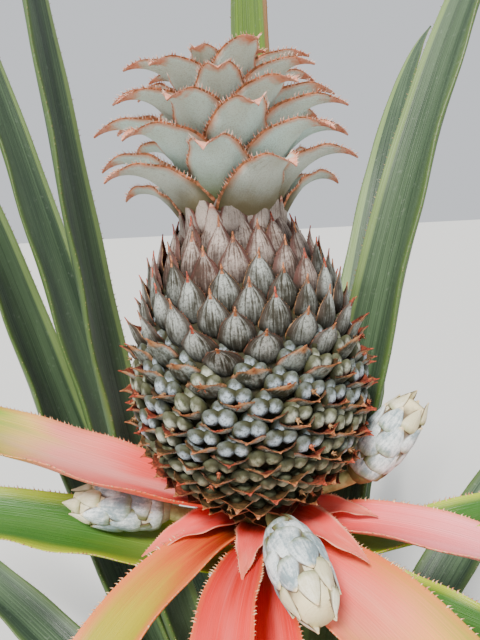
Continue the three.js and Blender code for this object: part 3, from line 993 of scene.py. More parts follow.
@dataclass
class Rosette(Spiny):
    """Long leaves up the stem, the newest at the top."""

    count: int = 28
    top_seat: float = 187.0
    spacing: float = 6.2
    first_azimuth: float = 22.0
    width: float = 56.0
    grid: tuple[int, int] = (14, 64)
    bright_leaf: int = 2
    thorns: Thorns = Thorns(2.6, 5.0, 0.04, 0.98, 1.0, 0.4)

    def blade(self, index: int) -> Blade:
        """The rule of one leaf.

        Args:
            index: Its number from the top.

        Returns:
            The blade, seated on the stem.
        """
        age = index / (self.count - 1)
        azimuth = self.first_azimuth - GOLDEN_ANGLE * index
        front = max(-math.sin(math.radians(azimuth)), 0)
        habit = {
            "azimuth": azimuth,
            "seat": self.top_seat - self.spacing * index,
            "length": mix(760, 860, math.sin(math.pi * min(age * 1.2, 1))) - 180 * age**2,
            "width": self.width,
            "leans": (mix(28, 58, age) + 12 * front, mix(56, 76, age) + 18 * front, mix(88, 99, age)),
        }
        habit.update(SEEN_LEAVES.get(index, {}))
        form = {"growth": 0.35, "taper": 2.2, "tip": 2.5, "channel": (60.0, 30.0), "crease": -0.5}
        form.update(ripple=1.2, waves=9.0, phase=index * 1.7, thickness=habit["length"] * LONG_THICKNESS)
        return Blade(**form, **habit).seat_on(stem_radius)

    def finish(self, index: int) -> LeafFinish:
        """The finish of one leaf, a little different for each."""
        finish = LeafFinish(shift=index * 1.3)
        if index == self.bright_leaf:
            finish = replace(finish, dark=(52, 84, 14), light=(104, 136, 30))
            return replace(finish, band=(126, 84, 44), band_at=0.0, band_width=0.12)
        if index in BANDED_LEAVES:
            at, width = BANDED_LEAVES[index]
            return replace(finish, band_at=at, band_width=width)
        return finish

    def build(self) -> None:
        """Makes all the leaves."""
        shape = slab(*self.grid)
        leaves = Series("leaf_blade", "leaf", "leaf_green", shape, self.thorns, np.eye(4))
        horn = DryFinish((196, 176, 120), (130, 96, 60), 300.0, 0.5).material("Leaf thorn")
        for index in range(self.count):
            skin = self.finish(index).material(f"Leaf skin {index + 1}")
            self.single(leaves, index, self.blade(index), skin, horn)


class BractColor(Enum):
    """Colours along the bracts, from foot to tip."""

    PINK = (
        (0.0, (130, 14, 8)), (0.1, (206, 34, 26)), (0.26, (250, 62, 54)), (0.55, (255, 92, 84)),
        (1.0, (255, 126, 96)),
    )
    ROSE = (
        (0.0, (180, 30, 24)), (0.1, (238, 66, 62)), (0.2, (255, 110, 112)), (0.4, (255, 160, 166)),
        (1.0, (250, 196, 184)),
    )
    TO_GREEN = (
        (0.0, (150, 22, 14)), (0.1, (226, 44, 36)), (0.18, (252, 76, 66)), (0.27, (255, 120, 112)),
        (0.35, (255, 150, 132)), (0.41, (224, 190, 92)), (0.47, (128, 176, 36)), (1.0, (66, 120, 16)),
    )
    TO_YELLOW = (
        (0.0, (96, 18, 10)), (0.08, (186, 48, 28)), (0.13, (214, 88, 46)), (0.18, (198, 128, 40)),
        (0.25, (176, 160, 22)), (0.42, (130, 152, 14)), (1.0, (92, 126, 16)),
    )
    EMBER = (
        (0.0, (180, 26, 18)), (0.1, (244, 62, 50)), (0.18, (255, 104, 96)), (0.25, (255, 144, 112)),
        (0.32, (246, 174, 78)), (0.42, (208, 182, 40)), (1.0, (120, 150, 24)),
    )
    GREEN = (
        (0.0, (150, 120, 40)), (0.12, (132, 150, 44)), (0.35, (56, 106, 28)), (0.7, (54, 104, 36)),
        (1.0, (86, 126, 50)),
    )
    OLIVE = (
        (0.0, (150, 86, 40)), (0.3, (122, 106, 34)), (0.7, (98, 112, 34)), (1.0, (120, 124, 50)),
    )


# Bracts that stand in plain view, and short ones where a long leaf passes close to the stalk
SEEN_BRACTS: dict[int, dict] = {
    0: dict(azimuth=301, seat=392, length=340, width=65, leans=(74, 104, 94), turn=-6),
    1: dict(azimuth=187, seat=418, length=330, width=68, leans=(70, 61, 82), turn=-3, roll=-3),
    2: dict(azimuth=40, seat=394, length=44),
    3: dict(azimuth=252, seat=397, length=300, width=34, leans=(72, 95, 111), turn=40, roll=5),
    4: dict(azimuth=122, length=300, width=40, leans=(83, 90, 98)),
    5: dict(azimuth=342, seat=401, length=330, width=45, leans=(76, 107, 87), turn=-5),
    6: dict(azimuth=223, seat=406, length=340, width=44, leans=(74, 122, 104), turn=27, roll=8),
    7: dict(length=44),
    8: dict(azimuth=270, seat=382, length=300, width=32, leans=(84, 95, 99), turn=-2),
    9: dict(azimuth=148, length=40),
    10: dict(azimuth=354, seat=370, length=320, width=40, leans=(80, 76, 92), turn=4),
    11: dict(azimuth=246, seat=362, length=160, leans=(88, 104, 112)),
    12: dict(length=50),
    13: dict(azimuth=325, seat=377, length=190, width=40, leans=(84, 92, 100)),
    14: dict(azimuth=183, seat=367, length=330, width=60, leans=(67, 74, 96), turn=-4, roll=-24),
}
SEEN_COLLAR: dict[int, dict] = {
    0: dict(azimuth=311),
    2: dict(azimuth=207, length=64, width=34),
    3: dict(azimuth=344, width=30),
    5: dict(azimuth=257, seat=411, length=46, width=26),
}

# Bracts by colour, the others being rose, and the side on which a green band runs
BRACT_COLORS: dict[BractColor, tuple[int, ...]] = {
    BractColor.EMBER: (0,),
    BractColor.TO_GREEN: (1, 4),
    BractColor.PINK: (3, 8),
    BractColor.TO_YELLOW: (6,),
    BractColor.GREEN: (10, 13, 14),
    BractColor.OLIVE: (11,),
}
BRACT_BANDS: dict[int, float] = {0: 1.0, 4: 0.0}


@dataclass
class Bracts(Spiny):
    """Long bracts on the flower stalk, and the short collar bracts right under the fruit."""

    count: int = 15
    top_seat: float = 406.0
    spacing: float = 2.6
    first_azimuth: float = 315.0
    grid: tuple[int, int] = (16, 44)
    thorns: Thorns = Thorns(2.8, 2.7, 0.1, 0.97, 1.3, 0.3)
    collar_count: int = 7
    collar_seat: float = 414.0
    collar_spacing: float = 0.9
    collar_first_azimuth: float = 308.0
    collar_grid: tuple[int, int] = (10, 18)
    collar_thorns: Thorns = Thorns(1.9, 1.8, 0.2, 0.95, 1.1, 0.3)

    def blade(self, index: int) -> Blade:
        """The rule of one long bract.

        Args:
            index: Its number from the top.

        Returns:
            The blade, seated on the stalk.
        """
        age = index / (self.count - 1)
        habit = {
            "azimuth": self.first_azimuth - GOLDEN_ANGLE * index,
            "seat": self.top_seat - self.spacing * index,
            "length": mix(300, 340, age),
            "width": 50,
            "leans": (76, 86, 96),
        }
        habit.update(SEEN_BRACTS.get(index, {}))
        form = {"foot": 0.48, "taper": 1.9, "tip": 2.0, "channel": (46.0, 26.0), "crease": 0.35}
        form.update(ripple=1.4, waves=6.0, phase=index * 2.1, thickness=habit["length"] * LONG_THICKNESS)
        return Blade(**form, **habit).seat_on(stalk_radius)

    def collar_blade(self, index: int) -> Blade:
        """The rule of one collar bract.

        Args:
            index: Its number from the top.

        Returns:
            The blade, seated on the stalk.
        """
        azimuth = self.collar_first_azimuth + GOLDEN_ANGLE * index
        habit = {
            "azimuth": azimuth,
            "seat": self.collar_seat - self.collar_spacing * index,
            "length": 56 - 10 * math.sin(math.radians(azimuth)),
            "width": 34,
        }
        habit.update(SEEN_COLLAR.get(index, {}))
        form = {"foot": 0.65, "taper": 1.4, "tip": 1.2, "channel": (38.0, 26.0), "leans": (74, 90, 110)}
        form.update(ripple=1.0, waves=3.0, phase=index * 1.9, thickness=1.8)
        return Blade(**form, **habit).seat_on(stalk_radius)

    def finish(self, index: int) -> BractFinish:
        """The finish of one long bract.

        Args:
            index: Its number from the top.

        Returns:
            The finish, with its colour's margin and its pale middle of wax and painted light.
        """
        color = next((color for color, bracts in BRACT_COLORS.items() if index in bracts), BractColor.ROSE)
        edge, edge_share, edge_from, pale, bloom_and_painted_light = (232, 118, 62), 0.5, 0.4, (250, 176, 168), 0.2
        if color in (BractColor.GREEN, BractColor.OLIVE):
            edge, edge_share, edge_from, pale = (176, 192, 30), 0.9, 0.28, (96, 128, 66)
        elif color is BractColor.TO_YELLOW:
            edge_share, edge_from, pale = 0.9, 0.28, (206, 190, 40)
        elif color is BractColor.TO_GREEN:
            # Painted light: a stronger pale middle brightens these bracts as if sunlit
            bloom_and_painted_light = 0.55
        band = BRACT_BANDS.get(index, 0.5)
        return BractFinish(color.value, edge, edge_share, edge_from, pale, bloom_and_painted_light, band, index * 1.9)

    def build(self) -> None:
        """Makes all the bracts."""
        place = head_place()
        shape = slab(*self.grid)
        series = Series("bract_blade", "bract", "bract_red", shape, self.thorns, place)
        horn = DryFinish((240, 206, 160), (196, 120, 84), 300.0, 0.5).material("Bract thorn")
        for index in range(self.count):
            skin = self.finish(index).material(f"Bract skin {index + 1}")
            self.single(series, index, self.blade(index), skin, horn)
        shape = slab(*self.collar_grid)
        series = Series("collar_blade", "collar_bract", "bract_red", shape, self.collar_thorns, place)
        for index in range(self.collar_count):
            finish = BractFinish(BractColor.PINK.value, (244, 190, 160), 0.6, shift=index * 0.7 + 40)
            skin = finish.material(f"Collar skin {index + 1}")
            self.single(series, index, self.collar_blade(index), skin, horn)


class FruitTone(IntEnum):
    """Finish numbers of the fruit's bracts."""

    LOW, MIDDLE, HIGH, NECK, RIM, DARK_RIM, RED_TIP, TAN_TIP, INNER, RED_INNER = range(10)


@dataclass
class Fruit(Spiny):
    """Fruit of many fruitlets: to each a toothed bract, its sepals and the rest of its flower."""

    grid: tuple[int, int] = (10, 10)
    body_depth: float = 7.0
    body_bumps: float = 0.8
    root_depth: float = 9.0
    low_reach: float = 0.22
    upper_from: float = 0.5
    upper_reach: float = 0.22
    neck_from: float = 0.82
    neck_reach: float = 0.14
    rim_thorns: Thorns = Thorns(1.3, 1.8, 0.6, 0.82, 1.2, 0.2)
    tip_half: float = 0.3
    slices: int = 400
    slope_step: float = 0.01

    # How far up sepals and withered flowers stand, how many fruitlets keep a flower, and its petals
    sepals_to: float = 0.93
    flowers_to: float = 0.6
    flower_share: float = 0.36
    petals: int = 5

    # Two sepals in front and one behind them: across, out, up, size
    sepal_spots: tuple[tuple[float, ...], ...] = (
        (-4.0, -2.9, 1.0, 5.2),
        (3.9, -2.6, 1.5, 5.4),
        (0.2, -5.6, 5.0, 5.0),
    )

    def shares(self) -> np.ndarray:
        """Heights of the fruitlets, spaced so that each has the same share of the fruit's skin."""
        heights = np.arange(self.slices + 1) / self.slices
        radius = np.array([fruit_radius(share) for share in heights])
        slope = np.hypot(FRUIT_HEIGHT / self.slices, np.diff(radius))
        sums = np.concatenate([[0], np.cumsum((radius[1:] + radius[:-1]) / 2 * slope)])
        wanted = sums[-1] * (np.arange(FRUITLET_COUNT) + 0.5) / FRUITLET_COUNT
        return np.interp(wanted, sums, heights)

    def radius_at(self, height: float) -> float:
        """Radius over the scales at a height above the ground."""
        return fruit_radius((height - FRUIT_BASE) / FRUIT_HEIGHT)

    def slope_at(self, share: float) -> float:
        """Lean of the fruit's skin from the vertical at a share of its height, in degrees."""
        low, high = max(share - self.slope_step, 0), min(share + self.slope_step, 1)
        rise = (high - low) * FRUIT_HEIGHT
        return math.degrees(math.atan2(fruit_radius(high) - fruit_radius(low), rise))

    def bract(self, index: int, share: float) -> Blade:
        """The rule of one fruitlet's bract: a short cup low down, a tall pointed shield higher up.

        Args:
            index: Its number from the bottom.
            share: Its share of the fruit's height.

        Returns:
            The blade, rooted in the fruit's body.
        """
        slope = self.slope_at(share)
        uniform = self.rng.uniform
        upper = past(share, self.upper_from, self.upper_reach)
        neck = past(share, self.neck_from, self.neck_reach)
        foot = share * FRUIT_HEIGHT - mix(8.5, 8.0, upper)
        low_length = mix(13.4, 17.6, past(share, 0, self.low_reach))
        curl = mix(mix(66, 88, past(share, 0, 0.3)), 22, upper)
        return Blade(
            azimuth=GOLDEN_ANGLE * index + uniform(-1.5, 1.5),
            seat=foot + FRUIT_BASE + FRUITLET_DRAWN_UP * (1 - share),
            radius=fruit_radius(max(share - 0.04, 0.0)) - self.root_depth,
            length=mix(mix(low_length, 28.0, upper), 30.0, neck) + uniform(-1.4, 1.4),
            width=mix(mix(26.5, 23.5, upper), 23.5, neck),
            leans=(
                slope * 0.8 + mix(92, 66, upper) - 34 * neck,
                slope * 0.8 + mix(60, 9, upper) - 6 * neck + uniform(-4, 4),
                slope * 0.5 + curl - 14 * neck + uniform(-18, 18),
            ),
            thickness=1.0,
            foot=0.7,
            growth=0.4,
            taper=mix(mix(4.2, 3.0, upper), 2.2, neck),
            tip=mix(3.4, 2.0, upper),
            point=mix(0.85, 0.87, upper),
            channel=(58.0, mix(38.0, 44.0, upper)),
            ripple=mix(1.1, 0.5, upper),
            waves=2.5,
            phase=uniform(0, 6.28),
            turn=uniform(-14, 14),
            crease=mix(0.1, 0.3, upper),
        )

    def skin_place(self, azimuth: float, share: float) -> np.ndarray:
        """Matrix at the fruit's skin: X along it level, Y out of it, Z up along it.

        Args:
            azimuth: Bearing in degrees.
            share: Share of the fruit's height.

        Returns:
            The matrix in millimetres.
        """
        turn = math.radians(azimuth)
        slope = math.radians(self.slope_at(share))
        out = np.array([math.cos(turn), math.sin(turn), 0.0])
        level = np.array([-math.sin(turn), math.cos(turn), 0.0])
        up = out * math.sin(slope) + np.array([0, 0, math.cos(slope)])
        place = np.eye(4)
        place[:3, 0] = -level
        place[:3, 1] = np.cross(up, -level)
        place[:3, 2] = up
        place[:3, 3] = out * fruit_radius(share)
        place[2, 3] = FRUIT_BASE + share * FRUIT_HEIGHT + FRUITLET_DRAWN_UP * (1 - share)
        return place

    def sepals(self, index: int, share: float) -> np.ndarray:
        """Places of one fruitlet's sepals, two in front and one behind them.

        Args:
            index: Its number from the bottom.
            share: Its share of the fruit's height.

        Returns:
            Matrices with the sepals' sizes.
        """
        skin = self.skin_place(GOLDEN_ANGLE * index, share)
        uniform = self.rng.uniform
        upper = past(share, self.upper_from, self.upper_reach)
        places = []
        for across, out, rise, size in self.sepal_spots:
            size = size * uniform(0.92, 1.1) * mix(1, 0.82, upper)
            lean = rotation(-30 + 14 * upper + uniform(-10, 10), "X")
            side = rotation(across * 6 + uniform(-8, 8), "Y")
            swing = rotation(uniform(-10, 10) - across, "Z")
            spot = Matrix.Translation((across * mix(1, 1.12, upper), out - 6.4 * upper, rise + 1.8 * upper))
            sizes = Matrix.Diagonal((size, size * 0.88, size * 0.98, 1))
            places.append(skin @ np.array(spot @ swing @ side @ lean @ sizes))
        return np.array(places)

    def flower(self, index: int, share: float) -> np.ndarray:
        """Places of the withered petals on one fruitlet's rim.

        Args:
            index: Its number from the bottom.
            share: Its share of the fruit's height.

        Returns:
            Matrices with the petals' sizes.
        """
        skin = self.skin_place(GOLDEN_ANGLE * index, share)
        uniform = self.rng.uniform
        center = Matrix.Translation((uniform(-2.4, 2.4), uniform(1.2, 2.4), uniform(-2.2, 1.2)))
        places = []
        for petal in range(self.petals):
            turn = rotation(360 / self.petals * petal + uniform(-24, 24), "Y")
            lift = rotation(uniform(-58, -8), "X")
            size = Matrix.Diagonal((uniform(2.6, 4.8), uniform(1.0, 2.0), uniform(1.8, 5.4), 1))
            places.append(skin @ np.array(center @ turn @ lift @ size))
        return np.array(places)

    def body(self) -> bpy.types.Object:
        """Makes the dark body behind the fruitlets, its olive colour darkened as painted shade in the gaps.
        """
        shape = spindle(64, 40)
        across, along, share = shape.corners.T
        bumps = self.body_bumps * np.sin(share * 70) * np.sin(13 * np.arctan2(along, across))
        bounds = (FRUIT_BASE, FRUIT_BASE + FRUIT_HEIGHT)
        sheaf = Sheaf(head_place())
        sheaf.add_limb(shape, self.radius_at, bounds, self.body_depth - bumps)
        # Painted shade: the body's colour is as dark as the shaded gaps between the fruitlets
        flesh_and_gap_shade = DryFinish((50, 46, 18), (22, 19, 6), 260.0, 0.85)
        return sheaf.write("fruit_body", [flesh_and_gap_shade.material("Fruit body")])

    def tone(self, share: float) -> FruitTone:
        """The finish of the bract at a share of the height, dealt out with ragged bounds."""
        ragged = share + self.rng.uniform(-0.05, 0.05)
        bounds = {FruitTone.LOW: 0.24, FruitTone.MIDDLE: 0.62, FruitTone.HIGH: 0.84}
        return next((tone for tone, bound in bounds.items() if ragged < bound), FruitTone.NECK)

    def finishes(self) -> list[bpy.types.Material]:
        """Materials of the bracts in the order of their finish numbers."""
        low = ScurfFinish((96, 88, 60), (44, 38, 18), rim=(140, 80, 44), cover=0.55, fibre=12, specks=800)
        middle = replace(low, scurf=(146, 154, 148), skin=(38, 38, 18), rim=(150, 94, 54), cover=0.5)
        # Painted shade: the dark feet of all four, over their darker lower skin, shade the gaps under the
        # shields
        middle = replace(middle, fleck=(50, 48, 34), foot=(30, 27, 12), foot_height=0.66, flecks=0.6)
        # Painted shade: the dark rim and low rim of the high and neck bracts shade the gaps between the
        # shields
        high = replace(middle, scurf=(174, 178, 172), skin=(40, 34, 16), rim=(46, 30, 12), fibre=22)
        high = replace(high, streaks=0.62, foot_height=0.7, rim_from=0.22, rim_to=0.4, low_rim=(32, 28, 12))
        neck = replace(high, scurf=(176, 160, 150), skin=(58, 36, 22), rim=(72, 30, 18))
        neck = replace(neck, fleck=(80, 50, 40), foot=(40, 24, 12), foot_height=0.62)
        return dressed({
            "Low bract": replace(low, foot=(40, 34, 14), end=(140, 84, 48), end_from=0.6),
            "Middle bract": replace(middle, end=(166, 116, 74), end_from=0.66),
            "High bract": replace(high, end=(140, 92, 60), end_from=0.8),
            "Neck bract": replace(neck, end=(164, 90, 68), end_from=0.8),
            "Bract rim": DryFinish((150, 108, 68), (84, 54, 28)),
            "Dark bract rim": DryFinish((108, 64, 42), (56, 30, 18)),
            "Red dry tip": DryFinish((190, 78, 48), (100, 34, 20), 700),
            "Tan dry tip": DryFinish((190, 120, 74), (110, 62, 34), 700),
            "Bract inside": DryFinish((92, 66, 34), (50, 34, 14)),
            "Red bract inside": DryFinish((140, 62, 40), (80, 32, 18)),
        })

    def sepal_finishes(self) -> list[bpy.types.Material]:
        """Materials of the low, the grey and the greenish sepals."""
        # Painted shade: the dark rim, low rim and foot darken each sepal toward its edges and lower contour
        habit = {"fibre": 6, "rim_from": 0.14, "rim_to": 0.42, "rim_share": 1.0, "low_rim": (26, 26, 9)}
        habit.update(foot_height=0.46, foot_share=1.0, streaks=0.3)
        habit.update(end_from=0.66, end_reach=0.26, end_share=0.88)
        green = ScurfFinish((150, 154, 128), (62, 66, 32), rim=(42, 42, 16), foot=(32, 32, 10), **habit)
        grey = ScurfFinish((180, 194, 206), (58, 64, 48), rim=(48, 48, 18), foot=(38, 38, 12), **habit)
        green = replace(green, end=(50, 52, 22), cover=0.66, flecks=0.6)
        grey = replace(grey, end=(56, 60, 38), cover=0.8, fleck=(60, 64, 56), specks=800)
        greenish = replace(grey, scurf=(186, 190, 172), skin=(66, 74, 40), end=(58, 60, 26), cover=0.74)
        return dressed({
            "Low sepal": green,
            "Sepal": replace(grey, flecks=0.7),
            "Greenish sepal": greenish,
        })

    def zones(self, index: int, share: float) -> tuple[int, ...]:
        """Finish numbers of one fruitlet's bract by zone, redder at the fruit's sides.

        Args:
            index: Its number from the bottom.
            share: Its share of the fruit's height.

        Returns:
            The numbers.
        """
        sideways = math.cos(math.radians(GOLDEN_ANGLE * index)) ** 2
        inner = FruitTone.RED_INNER if self.rng.random() < mix(0.25, 0.6, sideways) else FruitTone.INNER
        tip = FruitTone.RED_TIP if self.rng.random() < mix(0.12, 0.7, sideways) else FruitTone.TAN_TIP
        rim = FruitTone.DARK_RIM if self.rng.random() < mix(0.3, 0.75, share) else FruitTone.RIM
        return (self.tone(share), rim, tip, rim, inner)

    def build(self) -> None:
        """Makes the fruit."""
        rng = self.rng
        shape = slab(*self.grid)
        seed = bead(12, 8)
        bracts, sepals, flowers = (Sheaf(head_place()) for _ in range(3))
        for index, share in enumerate(self.shares().tolist()):
            zones = self.zones(index, share)
            blade = self.bract(index, share)
            tip_from = blade.point - mix(0.1, 0.04, share)
            self.lay(bracts, blade, shape, zones, self.rim_thorns, tip_from, self.tip_half)
            if share < self.sepals_to:
                low = share + rng.uniform(-0.07, 0.07) < 0.26
                tone = 0 if low else 1 + int(rng.random() < 0.35)
                sepals.stamp(seed, self.sepals(index, share), tone)
            if share < self.flowers_to and rng.random() < self.flower_share:
                flowers.stamp(self.prickle, self.flower(index, share), int(rng.random() < 0.45))
        attach(bracts.write("fruitlet_bracts", self.finishes()), "fruit_scale", "fruit")
        attach(sepals.write("sepals", self.sepal_finishes()), "fruit_scale")
        dry = dressed({
            "Withered flower": DryFinish((196, 104, 62), (104, 44, 24), 900),
            "Dry flower": DryFinish((190, 146, 98), (110, 70, 40), 900),
        })
        attach(flowers.write("withered_flowers", dry), "fruit_scale")
        attach(self.body(), "fruit_scale")


class CrownTone(IntEnum):
    """Finish numbers of the crown."""

    SCURF, MARGIN, TIP, THORN, INSIDE, CORE, NECK, NECK_RIM, LOW = range(9)


@dataclass
class Crown(Spiny):
    """Crown of broad toothed leaves that curl outwards, on a core with small scales at its neck."""

    count: int = 38
    extra: int = 8
    low_count: int = 6
    first_azimuth: float = 20.0
    lowest_seat: float = 3.0
    leaf_length: float = 70.0
    leaf_width: float = 52.0
    narrowing: float = 16.0
    shortening: float = 46.0
    seat_share: float = 0.72
    tip_from: float = 0.88

    # The leaves past the count close the top and are shorter and narrower
    closing_from: float = 0.8
    closing_shortening: float = 30.0
    closing_narrowing: float = 14.0
    grid: tuple[int, int] = (16, 24)
    thorns: Thorns = Thorns(3.0, 2.2, 0.18, 0.98, 0.8, 0.2)

    # Scales of the neck, which start a little below the core
    neck_count: int = 44
    neck_foot: float = -7.0
    neck_height: float = 12.0
    neck_tip_from: float = 0.9
    neck_grid: tuple[int, int] = (10, 12)
    neck_thorns: Thorns = Thorns(1.1, 1.3, 0.4, 0.9, 1.0, 0.3)

    # Finish numbers by zone
    leaf_zones: tuple[int, ...] = tuple(CrownTone)[:5]
    low_zones: tuple[int, ...] = (CrownTone.LOW, *tuple(CrownTone)[1:4], CrownTone.LOW)
    neck_zones: tuple[int, ...] = (
        CrownTone.NECK, CrownTone.NECK_RIM, CrownTone.TIP, CrownTone.NECK_RIM, CrownTone.NECK
    )

    def core_radius(self, share: float) -> float:
        """Radius of the core at a share of the crown's height."""
        return mix(CROWN_CORE_RADIUS, CROWN_CORE_TOP_RADIUS, min(share, 1.0) ** 0.8)

    def blade(self, index: int) -> Blade:
        """The rule of one crown leaf.

        Args:
            index: Its number from the bottom; those past the count are small and close the top.

        Returns:
            The blade, rooted in the core.
        """
        share = min(self.closing_from * index / (self.count - 1), 1.0)
        away = abs(share - CROWN_FULLEST)
        closing = past(share, self.closing_from, 1 - self.closing_from)
        shorter = self.shortening * (1 - share) * away + self.closing_shortening * closing
        narrower = self.narrowing * away + self.closing_narrowing * closing
        form = {"channel": (56.0, 44.0), "taper": 1.35, "foot": 0.95, "thickness": 1.7}
        form.update(ripple=1.0, waves=4.0, crease=0.5)
        seat = self.lowest_seat + self.seat_share * share * CROWN_HEIGHT
        return Blade(
            azimuth=self.first_azimuth + GOLDEN_ANGLE * index,
            seat=seat + FRUIT_BASE + FRUIT_HEIGHT + GAP,
            radius=self.core_radius(share) - 1,
            length=self.leaf_length - shorter,
            width=self.leaf_width - narrower,
            leans=(mix(34, 18, share), mix(58, 46, share), mix(132, 112, share)),
            phase=index * 2.3,
            **form,
        )

    def neck_scale(self, index: int) -> Blade:
        """The rule of one pointed scale between the fruit and the crown.

        Args:
            index: Its number from the bottom.

        Returns:
            The blade, rooted in the core.
        """
        share = index / (self.neck_count - 1)
        seat = mix(self.neck_foot, self.neck_height, share)
        form = {"channel": (46.0, 40.0), "growth": 0.4, "taper": 1.5, "foot": 0.9, "thickness": 1.0}
        form.update(ripple=0.4, crease=0.3)
        return Blade(
            azimuth=GOLDEN_ANGLE * index + 60,
            seat=seat + FRUIT_BASE + FRUIT_HEIGHT,
            radius=self.core_radius(max(seat, 0) / CROWN_HEIGHT) - mix(0, 2, share),
            length=mix(22, 27, share) + self.rng.uniform(-1.5, 1.5),
            width=mix(21, 23, share),
            leans=(mix(20, 4, share), mix(-2, 6, share), mix(2, 34, share) + self.rng.uniform(-6, 6)),
            **form,
        )

    def finishes(self) -> list[bpy.types.Material]:
        """Materials of the crown in the order of their finish numbers."""
        colors = {"fleck": (120, 116, 92), "rim": (214, 138, 96), "low_rim": (66, 58, 22)}
        colors.update(foot=(86, 92, 36), end=(224, 148, 112))
        habit = {"cover": 0.95, "flecks": 0.3, "fibre": 24, "rim_from": 0.34, "rim_to": 0.48}
        habit.update(foot_share=0.95, foot_height=0.56, end_from=0.76)
        face = ScurfFinish((208, 232, 226), (142, 160, 130), **colors, **habit)
        low = replace(face, scurf=(200, 212, 204), skin=(134, 132, 108), foot=(92, 78, 40))
        neck = ScurfFinish((176, 160, 150), (70, 44, 30), rim=(80, 32, 20), cover=0.66, fibre=20, streaks=0.6)
        neck = replace(neck, foot=(60, 30, 18), rim_from=0.27, rim_to=0.42, low_rim=(60, 26, 16))
        return dressed({
            "Crown scurf": face,
            "Crown margin": DryFinish((204, 122, 82), (116, 72, 34)),
            "Crown tip": DryFinish((226, 168, 146), (206, 130, 104), 200),
            "Crown thorn": DryFinish((240, 212, 194), (206, 122, 92)),
            "Crown inside": replace(face, skin=(120, 108, 72), scurf=(190, 164, 140), cover=0.6),
            "Crown core": DryFinish((120, 96, 66), (84, 52, 38)),
            "Neck scale": replace(neck, end=(176, 104, 80), end_from=0.8),
            "Neck rim": DryFinish((122, 58, 34), (64, 26, 14)),
            "Low leaf": low,
        })

    def build(self) -> None:
        """Makes the crown."""
        shape = slab(*self.grid)
        sheaf = Sheaf(head_place())
        for index in range(self.count + self.extra):
            zones = self.low_zones if index < self.low_count else self.leaf_zones
            self.lay(sheaf, self.blade(index), shape, zones, self.thorns, self.tip_from)
        shape = slab(*self.neck_grid)
        for index in range(self.neck_count):
            blade = self.neck_scale(index)
            self.lay(sheaf, blade, shape, self.neck_zones, self.neck_thorns, self.neck_tip_from)
        foot = FRUIT_BASE + FRUIT_HEIGHT + GAP
        sheaf.add_limb(
            spindle(32, 16),
            lambda height: self.core_radius((height - foot) / CROWN_HEIGHT),
            (foot, foot + CROWN_HEIGHT),
            finish=CrownTone.CORE,
        )
        attach(sheaf.write("crown_leaves", self.finishes()), "crown_scurf", "crown")


@dataclass(frozen=True)
class SlipPlace:
    """Where a slip grows: bearing, where its stalk leaves, where its body starts, and its rise."""

    azimuth: float
    seat: float
    start: float
    height: float
    elevation: float


class SlipTone(IntEnum):
    """Finish numbers of the slips."""

    SCURF, MARGIN, TIP, THORN, CREAM, STALK = range(6)


